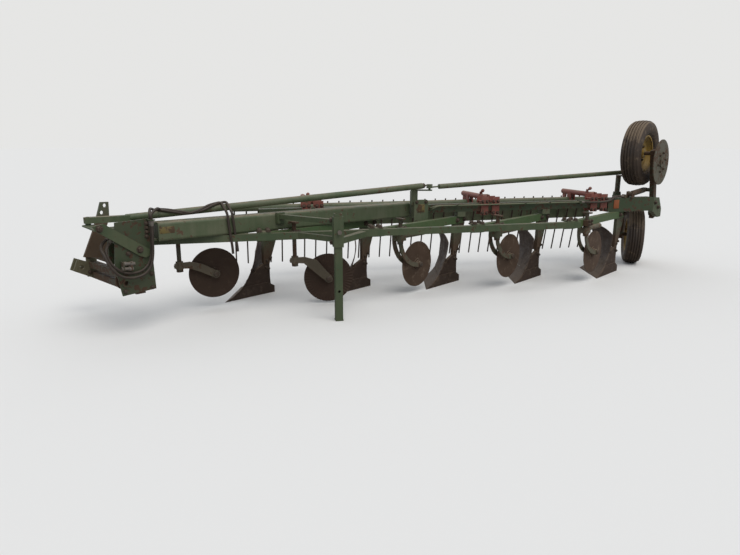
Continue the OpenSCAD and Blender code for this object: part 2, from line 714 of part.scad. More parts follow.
module lift_rim() color(yellow) on_row() translate(lift_wheel) wheel_rim(rim_d, rim_w);
module lift_tyre() color(rubber) on_row() translate(lift_wheel) tyre(lift_d, lift_w, rim_d, rim_w);

disc_place = [2405, 4430, 1270];
module gauge_disc() {
    color(steel) on_row() translate(disc_place) difference() {
        union() {
            rod_x(520, 10);
            rod_x(120, 40);
        }
        rod_x(spindle_d - 8 + 2 * run, 60);
    }
}

// Lift cylinder, from the end box to the arm
cyl_x = pivot[0] - 80;
eye_boss = pivot[0] - arm_w / 2 - cyl_x - 18 - 1;
cyl_base = [cyl_x, rear_back + (cyl_x - 45 * cos(skew)) / tan(skew) - 45 * sin(skew), end_z + end_h + 43];
cyl_eye = [cyl_x, pivot[1] - 110, pivot[2] + 280];
cyl_d = 64;
cyl_rod_d = 32;
cyl_pin_d = 24;
barrel_len = 400;
module cylinder_clevis() {
    color(green) on_row() {
        for (s = [-1, 1]) translate([cyl_base[0] + s * 30 - 6, cyl_base[1] - 35, end_z + end_h])
            cube([12, 70, cyl_base[2] - end_z - end_h + 30]);
        translate(cyl_base) rod_x(cyl_pin_d, 84);
        // Block that the tail hoses end in
        on_line(rear_back) translate([22, 4020, end_z + end_h]) cube([50, 26, 40]);
    }
}

cyl_tilt = atan2(cyl_eye[2] - cyl_base[2], cyl_eye[1] - cyl_base[1]);
cyl_len = norm(cyl_eye - cyl_base);
module on_cylinder() on_row() translate(cyl_base) rotate([cyl_tilt, 0, 0]) children();
module cylinder_barrel() {
    color(dark) on_cylinder() difference() {
        union() {
            translate([0, 44 + barrel_len / 2 - 15, 0]) rod_y(cyl_d, barrel_len - 30);
            rod_x(52, 40);
            translate([-20, 0, -20]) cube([40, 60, 40]);
        }
        rod_x(cyl_pin_d + 2 * run, 60);
        translate([0, 60 + barrel_len / 2, 0]) rod_y(cyl_rod_d + 2 * run, barrel_len + 40);
    }
}

module cylinder_rod() {
    color("silver") on_cylinder() {
        translate([0, cyl_len - 190, 0]) rod_y(cyl_rod_d, 380);
        translate([0, cyl_len, 0]) rod_x(52, 36);
    }
}

// Hitch head, which swings about the kingpin
head_x = [275, 290];
lower_y = -1045;
ear_ring = 70;
module headstock() {
    color(green) on_row() difference() {
        union() {
            // Near side plate
            translate([head_x[0], 0, 0]) rotate([90, 0, 90]) linear_extrude(head_x[1] - head_x[0]) polygon([
                [-1090, 900], [-824, 908], [-808, 340], [-1080, 325], [-1120, 560]]);
            translate([head_x[1] + 3, lower_y, link_z]) rod_x(ear_ring, 8);
            // Kingpin housing and its web to the side plate
            translate([king[0], king[1], tongue_z + lug_t + 3]) cylinder(d = king_d + 40, h = tongue_h - 2 * lug_t - 6);
            translate([king[0], king[1] - 40, tongue_z + lug_t + 3]) cube([head_x[0] - king[0] + 1, 60, tongue_h - 2 * lug_t - 6]);
            translate([120, -1090, tongue_z + lug_t + 3]) cube([head_x[0] - 120 + 1, 190, tongue_h - 2 * lug_t - 6]);
            // Tab that holds the hoses' upper ends
            translate([head_x[1] - 1, -842, 896]) cube([66, 40, 8]);
            // Sockets of the hoses on the web's front face
            for (p = HITCH_HOSES) let (r = route(p, 2), m = len(r) - 1, u = unit(r[m] - r[m - 1]))
                strut(r[m] + 0.3 * u, r[m] + 34 * u, 30);
            // Far side plate
            translate([110, -1090, tubes[0][1] + tubes[0][3] / 2 + seat]) cube([15, 150, 290]);
        }
        translate([king[0], king[1], 600]) cylinder(d = king_d + 2 * run, h = 400);
        translate([head_x[0], lower_y, link_z]) rod_x(link_bore, 80);
    }
}

right_x = head_x[1] - link_span;
link_gap = 55;
ear_t = 16;
// Cross members of the head: middle in Y and Z, width and height
tubes = [[-960, 535, 64, 40], [-950, 437, 70, 50], [-930, 345, 76, 58]];
module cross_tubes() {
    ear_x = head_x[0] - link_gap - ear_t;
    tube_x = right_x + 2 * ear_t + link_gap + seat;
    color(dark) on_row() difference() {
        union() {
            for (p = tubes) translate([tube_x, p[0] - p[2] / 2, p[1] - p[3] / 2])
                cube([head_x[0] - tube_x - seat, p[2], p[3]]);
            // Inner ear of the left lower link
            translate([ear_x, 0, 0]) rotate([90, 0, 90]) linear_extrude(ear_t) polygon([
                [lower_y - 50, link_z - 30], [lower_y - 20, link_z - 55], [-900, 320], [-930, 552],
                [-990, 552], [lower_y - 50, link_z + 40]]);
        }
        // Way for the ball between the ears, and the pin's bore
        translate([ear_x + ear_t + link_gap / 2 + seat, lower_y, link_z]) rod_x(104, link_gap);
        translate([ear_x, lower_y, link_z]) rod_x(link_bore, 80);
    }
}

module link_block() {
    color(green) on_row() translate([right_x, lower_y, link_z]) difference() {
        union() {
            for (x = [0, ear_t + link_gap]) translate([x, 0, 0]) rotate([90, 0, 90]) linear_extrude(ear_t)
                polygon([[-32, 75], [170, -14], [116, -128], [-76, -25]]);
            translate([ear_t + link_gap + ear_t - 2, 0, 0]) rod_x(ear_ring, 8);
            // Web between the ears, and the plate that carries them on the cross members
            translate([2, 0, 0]) rotate([90, 0, 90]) linear_extrude(link_gap + 2 * ear_t - 4)
                polygon([[150, -12], [118, -92], [84, -78], [112, 8]]);
            translate([ear_t + link_gap + 2, tubes[0][0] - lower_y - 45, 330 - link_z])
                cube([ear_t - 2, 90, tubes[0][1] + tubes[0][3] / 2 - 330]);
        }
        translate([ear_t + link_gap / 2, 0, 0]) rod_x(link_bore, link_gap + 2 * ear_t + 60);
    }
}

mast_x = -204;
// Eyes of the top link, from the front of the upper one
top_eyes = [[-960, 987], [-989, 931]];
module mast() {
    seat_z = tubes[0][1] + tubes[0][3] / 2 + seat;
    color(green) on_row() difference() {
        union() {
            translate([mast_x, 0, 0]) rotate([90, 0, 90]) linear_extrude(24) polygon([
                [-992, 1016], [-928, 1014], [-934, 880], [-985, 760], [-932, seat_z + 60], [-932, seat_z],
                [-988, seat_z], [-1168, seat_z + 28], [-1066, 805], [-1030, 905]]);
            translate([mast_x - 40, -988, seat_z]) cube([104, 56, 14]);
        }
        for (e = top_eyes) translate([mast_x + 12, e[0], e[1]]) rod_x(32.2, 60);
    }
}

rod_front = [-22, -1166, 885];
rod_joint = [930, 1935, post_top + 60];
rod_rear = [column[0] + lever_len * cos(tail_deg), column[1] + lever_len * sin(tail_deg), lever_z + 58];
module steering_arm() {
    plate_z = rod_front[2] - 34;
    bar_x = head_x[1] + seat;
    color(green) on_row() {
        translate([0, 0, plate_z]) linear_extrude(10) polygon([
            [rod_front[0] - 40, rod_front[1] - 20], [rod_front[0] - 10, rod_front[1] - 45],
            [bar_x + 16, -1250], [bar_x + 16, -1140], [rod_front[0] - 10, rod_front[1] + 45]]);
        // Pin and collar that carry the front rod
        translate(rod_front - [0, 0, 46]) cylinder(d = rod_pin_d, h = 86);
        translate([rod_front[0], rod_front[1], plate_z + 9]) cylinder(d = rod_pin_d + 17, h = 13.6);
        // Brace along the outside of the side plate
        translate([bar_x, 0, 0]) rotate([90, 0, 90]) linear_extrude(16) polygon([
            [-1262, 889], [-1179, 901], [-848, 672], [-834, 646], [-843, 620], [-880, 606], [-926, 625], [-1241, 852]]);
    }
}

eye_h = 18;
module front_rod() {
    v = rod_joint - rod_front;
    color(green) on_row() difference() {
        union() {
            strut(rod_front + v * 0.085, rod_joint - v * 0.03, rod_d);
            // Deep flat bar at the front end
            translate([0, 0, rod_front[2] - 11]) flat_bar([rod_front[0], rod_front[1]],
                [rod_front[0] + v[0] * 0.09, rod_front[1] + v[1] * 0.09], 62, 48);
            strut(rod_joint - v * 0.04, rod_joint - v * 0.01, 14);
            translate(rod_joint) cylinder(d = 64, h = eye_h, center = true);
        }
        translate(rod_front) cylinder(d = rod_pin_d + 2 * run, h = 200, center = true);
    }
}

module idler() {
    color(green) on_row() {
        translate([0, 0, post_top + 1]) difference() {
            union() {
                flat_bar(post_xy, [rod_joint[0], rod_joint[1]], 60, 12);
                translate(post_xy) cylinder(d = 66, h = idler_t + 1);
            }
            translate([post_xy[0], post_xy[1], -1]) cylinder(d = rod_pin_d + 2 * run, h = 50);
        }
        translate([rod_joint[0], rod_joint[1], post_top + 1]) cylinder(d = rod_pin_d, h = 49);
    }
}

module rear_rod() {
    start = rod_joint - [0, 0, eye_h + 4];
    v = rod_rear - start;
    color(green) on_row() {
        strut(start + v * 0.04, rod_rear - v * 0.036, rod_d - 8);
        strut(start + v * 0.01, start + v * 0.05, 16);
        strut(rod_rear - v * 0.04, rod_rear - v * 0.005, 18);
        translate(start) difference() {
            cylinder(d = 64, h = eye_h, center = true);
            cylinder(d = rod_pin_d + 2 * run, h = eye_h + 2, center = true);
        }
        translate(rod_rear) cylinder(d = 60, h = 22, center = true);
    }
}

// Harrow: a tine bar and a lower bar on three arms, hinged to clamps on the rear beam
harrow_back = 1532;
harrow_s = [-1180, 3300];
bar_z = 810;
low_x = [-170, -112];
low_z = [575, 690];
low_s = [-700, 3250];
// Middle of the rear beam and of the front of the frame line's arms, measured from the tine bar
beam_off = (harrow_back - rear_back) * sin(skew);
arm_s = [-393, 1542, 2891];
hinge_off = 390;
hinge_z = 905;
hinge_d = 30;
arm_d = 60;
arm_end = -165;
strap_t = 16;
clamp_t = 12;
clamp_w = 85;
clamp_gap = 44;
lug_gap = 72;
module harrow_bars() {
    color(green) on_row() {
        on_line(harrow_back) translate([0, (harrow_s[0] + harrow_s[1]) / 2, bar_z]) rod_y(bar_d, harrow_s[1] - harrow_s[0]);
        on_line(harrow_back) translate([(low_x[0] + low_x[1]) / 2, low_s[0], low_z[0]])
            box_y(low_x[1] - low_x[0], low_s[1] - low_s[0], low_z[1] - low_z[0], 6);
    }
}

module harrow_tines() {
    count = floor((harrow_s[1] - harrow_s[0] - 60) / tine_step);
    color(dark) on_row() on_line(harrow_back) for (k = [0:count])
        translate([-(bar_d / 2 + tine_d / 2 + seat) / cos(tine_rake), harrow_s[0] + 30 + k * tine_step, bar_z])
        rotate([0, tine_rake, 0]) translate([0, 0, -650]) cylinder(d = tine_d, h = 700, $fn = 12);
}

module harrow_arms() {
    color(red) on_row() on_line(harrow_back) for (s = arm_s) translate([0, s, 0]) difference() {
        union() {
            translate([(hinge_off + arm_end) / 2, 0, hinge_z]) rod_x(arm_d, hinge_off - arm_end);
            translate([hinge_off, 0, hinge_z]) rod_y(arm_d + 4, lug_gap - 2);
            // Straps that hang the tine bar under the tube
            for (k = [-1, 1]) translate([0, k * 25 + strap_t / 2, 0]) rotate([90, 0, 0]) linear_extrude(strap_t)
                polygon([[-24, hinge_z], [50, hinge_z], [50, bar_z - 44], [20, bar_z - 52], [-24, bar_z - 52]]);
            // Strap that carries the lower bar
            translate([0, strap_t / 2, 0]) rotate([90, 0, 0]) linear_extrude(strap_t)
                polygon([[low_x[0] - 2, low_z[1] + seat], [low_x[1] + 2, low_z[1] + seat],
                         [low_x[1] + 6, bar_z], [-84, hinge_z], [low_x[0] + 10, hinge_z]]);
        }
        translate([arm_end - 2 + 200, 0, hinge_z]) rod_x(arm_d - 12, 404);
        translate([0, 0, bar_z]) rod_y(bar_d + 2 * seat, 200);
        translate([hinge_off, 0, hinge_z]) rod_y(hinge_d + 2 * run, 200);
    }
}

module harrow_brackets() {
    near_x = beam_off + rear_w / 2 + seat;
    far_x = beam_off - rear_w / 2 - seat - clamp_t;
    color(red) on_row() on_line(harrow_back) for (s = arm_s) translate([0, s, 0]) {
        for (k = [-1, 1]) {
            clamp_mid = k * (clamp_gap + clamp_w) / 2;
            for (x = [near_x, far_x]) translate([x, clamp_mid - clamp_w / 2, rear_z - 42])
                cube([clamp_t, clamp_w, rear_h + 110]);
            // Clamp bolts above and below the beam
            for (z = [rear_z - 20, rear_z + rear_h + 20], y = [-1, 1])
                translate([(near_x + far_x + clamp_t) / 2, clamp_mid + y * 24, z]) rod_x(16, rear_w + 60);
            // Hinge lugs
            translate([0, k * (lug_gap / 2 + 7) + 7, 0]) rotate([90, 0, 0]) linear_extrude(14) polygon([
                [far_x + 1, hinge_z - 90], [far_x + 1, hinge_z + 27], [hinge_off, hinge_z + 32],
                [hinge_off - 30, hinge_z + 10], [hinge_off - 30, hinge_z - 20], [hinge_off, hinge_z - 34]]);
        }
        translate([hinge_off, 0, hinge_z]) rod_y(hinge_d, lug_gap + 2 * 14 + 12);
    }
}

// Hoses: smooth tubes through round points
function bend(p, n) = let (m = len(p)) [for (i = [0:m - 2], k = [0:n - 1])
    let (t = k / n, a = p[max(i - 1, 0)], b = p[i], c = p[i + 1], d = p[min(i + 2, m - 1)])
    0.5 * (2 * b + t * (c - a) + t * t * (2 * a - 5 * b + 4 * c - d) + t * t * t * (3 * b - 3 * c + d - a))];
function route(p, n) = concat(bend(p, n), [p[len(p) - 1]]);
function unit(v) = v / norm(v);
module hose(p, d) {
    sides = 8;
    m = len(p);
    ring = [for (i = [0:m - 1]) let (
        t = unit(p[min(i + 1, m - 1)] - p[max(i - 1, 0)]), u = unit(cross(t, [1, 0, 0.2])), v = cross(t, u))
        for (k = [0:sides - 1]) p[i] + d / 2 * (cos(k * 360 / sides) * u + sin(k * 360 / sides) * v)];
    faces = concat([[for (k = [0:sides - 1]) k]],
        [for (i = [0:m - 2], k = [0:sides - 1]) let (q = (k + 1) % sides)
            [i * sides + k, (i + 1) * sides + k, (i + 1) * sides + q, i * sides + q]],
        [[for (k = [sides - 1:-1:0]) (m - 1) * sides + k]]);
    polyhedron(ring, faces);
}
HITCH_HOSES = [
    [[312, -822, 895.6], [312, -822, 845], [320, -828, 738], [320, -840, 632], [320, -872, 551], [320, -941, 506],
     [320, -1047, 508], [312, -1131, 563], [285, -1166, 639], [262, -1160, 705], [245, -1101, 775]],
    [[338, -824, 895.6], [338, -824, 842], [344, -832, 735], [344, -842, 614], [344, -875, 520], [344, -958, 473],
     [342, -1084, 485], [325, -1160, 560], [292, -1190, 655], [235, -1186, 725], [205, -1101, 790]]];
function at_tail(s, off, z) = let (p = along_line(rear_back, s, off)) [p[0], p[1], z];
TAIL_HOSES = [
    [at_tail(3440, 74, 842), at_tail(3580, 75, 838), at_tail(3700, 77, 838), at_tail(3800, 82, 852),
     at_tail(3880, 72, 895), at_tail(3960, 36, 893), at_tail(4018.5, 34, 892)],
    [at_tail(3440, 96, 842), at_tail(3580, 97, 836), at_tail(3700, 99, 836), at_tail(3800, 106, 850),
     at_tail(3880, 98, 890), at_tail(3960, 60, 893), at_tail(4018.5, 58, 892)]];
module hitch_hose_1() color(rubber) on_row() hose(route(HITCH_HOSES[0], 2), hose_d);
module hitch_hose_2() color(rubber) on_row() hose(route(HITCH_HOSES[1], 2), hose_d);
module tail_hose_1() color(rubber) on_row() hose(route(TAIL_HOSES[0], 2), hose_d - 4);
module tail_hose_2() color(rubber) on_row() hose(route(TAIL_HOSES[1], 2), hose_d - 4);

tongue();
front_rail();
rear_beam();
bottom_beams();
beam_clamps();
standards();
frogs();
shares();
moldboards();
landsides();
coulter_stems();
outrigger();
pivot_cover();
tail_bearing();
lift_bracket();
cylinder_clevis();
harrow_brackets();
stand_leg();
stand_bolt();
headstock();
cross_tubes();
link_block();
mast();
steering_arm();
front_rod();
idler();
rear_rod();
coulter_arm_1();
coulter_arm_2();
coulter_arm_3();
coulter_arm_4();
coulter_arm_5();
coulter_disc_1();
coulter_disc_2();
coulter_disc_3();
coulter_disc_4();
coulter_disc_5();
tail_fork();
tail_rim();
tail_tyre();
lift_arm();
lift_rim();
lift_tyre();
gauge_disc();
cylinder_barrel();
cylinder_rod();
harrow_bars();
harrow_tines();
harrow_arms();
hitch_hose_1();
hitch_hose_2();
tail_hose_1();
tail_hose_2();
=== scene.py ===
"""Looks of the five-bottom moldboard plough: paint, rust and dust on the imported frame, with its hoses,
bolts, tyre ribs, couplers and bare plates, on a plain pale floor. Measures are in metres."""

import math

import bpy
from mathutils import Matrix, Vector


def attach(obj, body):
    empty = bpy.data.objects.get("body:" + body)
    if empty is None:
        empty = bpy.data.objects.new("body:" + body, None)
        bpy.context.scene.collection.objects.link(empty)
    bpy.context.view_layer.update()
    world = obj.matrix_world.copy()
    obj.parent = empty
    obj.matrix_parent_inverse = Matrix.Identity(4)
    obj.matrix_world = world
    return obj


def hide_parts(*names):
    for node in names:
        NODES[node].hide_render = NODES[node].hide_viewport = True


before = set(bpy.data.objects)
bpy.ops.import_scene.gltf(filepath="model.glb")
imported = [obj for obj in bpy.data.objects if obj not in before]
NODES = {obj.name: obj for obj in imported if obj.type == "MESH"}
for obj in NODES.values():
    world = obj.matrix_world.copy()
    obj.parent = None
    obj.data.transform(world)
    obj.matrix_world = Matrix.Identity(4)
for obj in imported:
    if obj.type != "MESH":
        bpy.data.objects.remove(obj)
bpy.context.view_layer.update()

# Place of the first share's tip on the ground, from which the plough was measured
TIP = Vector((-0.82937, -1.86835, 0.0))
SKEW = math.atan2(0.542, 0.859)


def at(x, y, z):
    """A point measured from the first share's tip, in the plough's own frame."""
    return TIP + Vector((x, y, z))


# Camera, floor and light

FOCAL_PIXELS, PICTURE_PIXELS = 576, 740
CAMERA_DOWN, CAMERA_TURN = 13.05, 43.38

camera_data = bpy.data.cameras.new("photo_camera")
camera_data.sensor_width = 36
camera_data.lens = FOCAL_PIXELS / PICTURE_PIXELS * 36
camera = bpy.data.objects.new("photo_camera", camera_data)
bpy.context.collection.objects.link(camera)
camera.location = at(4.652, -2.908, 1.478)
camera.rotation_euler = (math.radians(90 - CAMERA_DOWN), 0, math.radians(CAMERA_TURN))
bpy.context.scene.camera = camera
bpy.context.scene.view_settings.view_transform = "Standard"


def soft_sun(name, azimuth, height, strength, spread, color):
    """A broad soft lamp: azimuth 0 shines from -Y and 90 from +X."""
    data = bpy.data.lights.new(name, "SUN")
    data.energy = strength
    data.angle = math.radians(spread)
    data.color = color
    lamp = bpy.data.objects.new(name, data)
    lamp.rotation_euler = (math.radians(90 - height), 0, math.radians(azimuth))
    bpy.context.collection.objects.link(lamp)


soft_sun("cloud_light", 75, 58, 1.5, 50, (1.0, 0.97, 0.93))
soft_sun("rear_light", -110, 40, 0.35, 70, (0.94, 0.97, 1.0))


def backdrop_world():
    """An even grey-white backdrop that lights softly and shows paler to the camera."""
    world = bpy.data.worlds.new("studio")
    world.use_nodes = True
    tree = world.node_tree
    tree.nodes.clear()
    out = tree.nodes.new("ShaderNodeOutputWorld")
    mix = tree.nodes.new("ShaderNodeMixShader")
    soft = tree.nodes.new("ShaderNodeBackground")
    soft.inputs["Color"].default_value = (0.88, 0.93, 1.0, 1)
    soft.inputs["Strength"].default_value = 0.58
    seen = tree.nodes.new("ShaderNodeBackground")
    seen.inputs["Color"].default_value = (0.79, 0.79, 0.78, 1)
    seen.inputs["Strength"].default_value = 1.0
    path = tree.nodes.new("ShaderNodeLightPath")
    tree.links.new(path.outputs["Is Camera Ray"], mix.inputs[0])
    tree.links.new(soft.outputs[0], mix.inputs[1])
    tree.links.new(seen.outputs[0], mix.inputs[2])
    tree.links.new(mix.outputs[0], out.inputs["Surface"])
    bpy.context.scene.world = world


backdrop_world()


def studio_floor():
    """A wide plain floor, pale to the camera and darker in the light that it sends back."""
    bpy.ops.mesh.primitive_plane_add(size=400, location=(0, 0, 0))
    floor = bpy.context.object
    floor.name = "studio_floor"
    paint = bpy.data.materials.new("floor_paint")
    paint.use_nodes = True
    tree = paint.node_tree
    shader = tree.nodes["Principled BSDF"]
    shader.inputs["Roughness"].default_value = 0.95
    shader.inputs["Specular IOR Level"].default_value = 0.0
    pale = tree.nodes.new("ShaderNodeMix")
    pale.data_type = "RGBA"
    pale.inputs["A"].default_value = (0.36, 0.34, 0.31, 1)
    pale.inputs["B"].default_value = (0.8, 0.79, 0.77, 1)
    path = tree.nodes.new("ShaderNodeLightPath")
    tree.links.new(path.outputs["Is Camera Ray"], pale.inputs["Factor"])
    tree.links.new(pale.outputs["Result"], shader.inputs["Base Color"])
    floor.data.materials.append(paint)


bpy.ops.object.select_all(action="DESELECT")
studio_floor()

# Shared shader groups


def new_group(name, inputs, outputs):
    """A shader node group with named sockets; inputs and outputs are (name, type, default)."""
    tree = bpy.data.node_groups.new(name, "ShaderNodeTree")
    for label, kind, value in inputs:
        socket = tree.interface.new_socket(label, in_out="INPUT", socket_type=kind)
        socket.default_value = value
    for label, kind in outputs:
        tree.interface.new_socket(label, in_out="OUTPUT", socket_type=kind)
    entry = tree.nodes.new("NodeGroupInput")
    leave = tree.nodes.new("NodeGroupOutput")
    return tree, entry.outputs, leave.inputs


class Graph:
    """Short ways to place nodes in a shader tree and join them."""

    def __init__(self, tree):
        self.tree = tree

    def join(self, value, socket):
        if isinstance(value, bpy.types.NodeSocket):
            self.tree.links.new(value, socket)
        else:
            socket.default_value = value

    def noise(self, vector, scale, detail=4.0, rough=0.55):
        n = self.tree.nodes.new("ShaderNodeTexNoise")
        self.join(vector, n.inputs["Vector"])
        self.join(scale, n.inputs["Scale"])
        n.inputs["Detail"].default_value = detail
        n.inputs["Roughness"].default_value = rough
        return n.outputs["Fac"]

    def stretch(self, vector, scale):
        n = self.tree.nodes.new("ShaderNodeMapping")
        self.join(vector, n.inputs["Vector"])
        n.inputs["Scale"].default_value = scale
        return n.outputs["Vector"]

    def math(self, op, a, b=0.0, clamp=False):
        n = self.tree.nodes.new("ShaderNodeMath")
        n.operation = op
        n.use_clamp = clamp
        self.join(a, n.inputs[0])
        self.join(b, n.inputs[1])
        return n.outputs[0]

    def ramp(self, value, low, high, to_low=0.0, to_high=1.0):
        n = self.tree.nodes.new("ShaderNodeMapRange")
        n.interpolation_type = "SMOOTHSTEP"
        self.join(value, n.inputs["Value"])
        self.join(low, n.inputs["From Min"])
        self.join(high, n.inputs["From Max"])
        n.inputs["To Min"].default_value = to_low
        n.inputs["To Max"].default_value = to_high
        return n.outputs["Result"]

    def mix(self, factor, a, b):
        n = self.tree.nodes.new("ShaderNodeMix")
        n.data_type = "RGBA"
        self.join(factor, n.inputs["Factor"])
        self.join(a, n.inputs["A"])
        self.join(b, n.inputs["B"])
        return n.outputs["Result"]

    def upward(self, vector):
        """The Z part of a vector."""
        n = self.tree.nodes.new("ShaderNodeSeparateXYZ")
        self.join(vector, n.inputs[0])
        return n.outputs["Z"]


def color(name, rgb):
    return (name, "NodeSocketColor", (*rgb, 1))


def number(name, value):
    return (name, "NodeSocketFloat", value)


def weathered_paint_group():
    """Old farm paint: faded in broad patches, streaked down its sides, chipped to rust, dusty on top.

    Below the height "Bare Below" it has worn off to the rust.
    """
    tree, give, take = new_group(
        "weathered_paint",
        [("Coordinates", "NodeSocketVector", (0, 0, 0)), ("Facing", "NodeSocketVector", (0, 0, 0)),
         color("Paint", (0.06, 0.1, 0.04)), color("Faded", (0.11, 0.13, 0.08)),
         color("Rust", (0.09, 0.035, 0.015)), color("Dust", (0.28, 0.23, 0.17)),
         number("Fading", 0.5), number("Chipping", 0.4), number("Dustiness", 0.7),
         number("Patch Scale", 3.0), number("Bare Below", -1.0)],
        [("Color", "NodeSocketColor"), ("Roughness", "NodeSocketFloat"), ("Height", "NodeSocketFloat")])
    g = Graph(tree)
    place = give["Coordinates"]
    broad = g.noise(place, give["Patch Scale"], 5.0, 0.6)
    streak = g.noise(g.stretch(place, (26, 26, 2.2)), 1.0, 4.0, 0.6)
    patches = g.math("ADD", broad, g.math("MULTIPLY", streak, 0.5))
    fade = g.math("MULTIPLY", g.ramp(patches, 0.55, 0.95), give["Fading"])
    shade = g.mix(fade, give["Paint"], give["Faded"])
    chips = g.noise(place, 21.0, 7.0, 0.68)
    spots = g.noise(place, 4.3, 3.0, 0.5)
    rusty = g.math("ADD", chips, g.math("MULTIPLY", spots, 0.45))
    edge = g.math("SUBTRACT", 1.02, g.math("MULTIPLY", give["Chipping"], 0.42))
    rust_mask = g.ramp(rusty, edge, g.math("ADD", edge, 0.05))
    wavy = g.math("ADD", g.upward(place), g.math("MULTIPLY", g.math("SUBTRACT", chips, 0.5), 0.35))
    worn = g.ramp(g.math("SUBTRACT", wavy, give["Bare Below"]), -0.1, 0.08, 0.92, 0.0)
    rust_mask = g.math("MAXIMUM", rust_mask, worn)
    rust_tone = g.mix(g.noise(place, 60.0, 3.0), give["Rust"], (0.095, 0.046, 0.022, 1))
    shade = g.mix(rust_mask, shade, rust_tone)
    settled = g.ramp(g.upward(give["Facing"]), 0.35, 0.95)
    cover = g.ramp(g.noise(place, 8.0, 6.0, 0.65), 0.28, 0.62)
    haze = g.math("MULTIPLY", g.noise(place, 2.1, 4.0), 0.35)
    dusty = g.math("MAXIMUM", g.math("MULTIPLY", settled, cover), haze)
    dust_mask = g.math("MULTIPLY", dusty, give["Dustiness"], clamp=True)
    shade = g.mix(dust_mask, shade, give["Dust"])
    g.join(shade, take["Color"])
    rough = g.math("ADD", 0.5, g.math("MULTIPLY", g.math("MAXIMUM", rust_mask, dust_mask), 0.38))
    g.join(rough, take["Roughness"])
    grain = g.noise(place, 190.0, 3.0)
    relief = g.math("ADD", g.math("MULTIPLY", grain, 0.25), g.math("MULTIPLY", rust_mask, -0.5))
    g.join(relief, take["Height"])
    return tree


def soil_steel_group():
    """Steel that works in soil: rust in layers, dry mud low down, and a dull polish where it rubs."""
    tree, give, take = new_group(
        "soil_steel",
        [("Coordinates", "NodeSocketVector", (0, 0, 0)), ("Facing", "NodeSocketVector", (0, 0, 0)),
         color("Steel", (0.05, 0.04, 0.035)), color("Rust", (0.06, 0.03, 0.018)),
         color("Mud", (0.17, 0.12, 0.08)),
         number("Rusting", 0.6), number("Muddiness", 0.4), number("Patch Scale", 7.0)],
        [("Color", "NodeSocketColor"), ("Roughness", "NodeSocketFloat"), ("Metallic", "NodeSocketFloat"),
         ("Height", "NodeSocketFloat")])
    g = Graph(tree)
    place = give["Coordinates"]
    broad = g.noise(place, give["Patch Scale"], 6.0, 0.62)
    fine = g.noise(place, 55.0, 5.0, 0.7)
    scour = g.noise(g.stretch(place, (9, 9, 60)), 1.0, 3.0)
    mixed = g.math("ADD", g.math("MULTIPLY", broad, 0.7), g.math("MULTIPLY", scour, 0.3))
    rust_mask = g.math("MULTIPLY", g.ramp(mixed, 0.3, 0.62), give["Rusting"])
    shade = g.mix(rust_mask, give["Steel"], give["Rust"])
    shade = g.mix(g.math("MULTIPLY", fine, 0.45), shade, (0.075, 0.038, 0.02, 1))
    mud = g.noise(place, 13.0, 6.0, 0.7)
    ledge = g.math("MULTIPLY", g.ramp(g.upward(give["Facing"]), 0.2, 0.9), 0.5)
    caked = g.ramp(g.math("ADD", mud, ledge), 0.52, 0.72)
    mud_mask = g.math("MULTIPLY", caked, give["Muddiness"], clamp=True)
    shade = g.mix(mud_mask, shade, give["Mud"])
    g.join(shade, take["Color"])
    dull = g.math("MAXIMUM", rust_mask, mud_mask)
    g.join(g.math("ADD", 0.45, g.math("MULTIPLY", dull, 0.45)), take["Roughness"])
    g.join(g.math("MULTIPLY", g.math("SUBTRACT", 1.0, dull), 0.6, clamp=True), take["Metallic"])
    g.join(g.math("ADD", g.math("MULTIPLY", fine, 0.5), g.math("MULTIPLY", mud_mask, 0.7)), take["Height"])
    return tree


WEATHERED = weathered_paint_group()
SOILED = soil_steel_group()


def material(name, group, values, bump=0.25, distance=0.002):
    """A material that feeds one shared group into a Principled shader."""
    made = bpy.data.materials.new(name)
    made.use_nodes = True
    tree = made.node_tree
    shader = tree.nodes["Principled BSDF"]
    where = tree.nodes.new("ShaderNodeTexCoord")
    block = tree.nodes.new("ShaderNodeGroup")
    block.node_tree = group
    tree.links.new(where.outputs["Object"], block.inputs["Coordinates"])
    if "Facing" in block.inputs:
        tree.links.new(where.outputs["Normal"], block.inputs["Facing"])
    for label, value in values.items():
        block.inputs[label].default_value = (*value, 1) if isinstance(value, tuple) else value
    tree.links.new(block.outputs["Color"], shader.inputs["Base Color"])
    tree.links.new(block.outputs["Roughness"], shader.inputs["Roughness"])
    if "Metallic" in block.outputs:
        tree.links.new(block.outputs["Metallic"], shader.inputs["Metallic"])
    bumps = tree.nodes.new("ShaderNodeBump")
    bumps.inputs["Strength"].default_value = bump
    bumps.inputs["Distance"].default_value = distance
    tree.links.new(block.outputs["Height"], bumps.inputs["Height"])
    tree.links.new(bumps.outputs["Normal"], shader.inputs["Normal"])
    return made


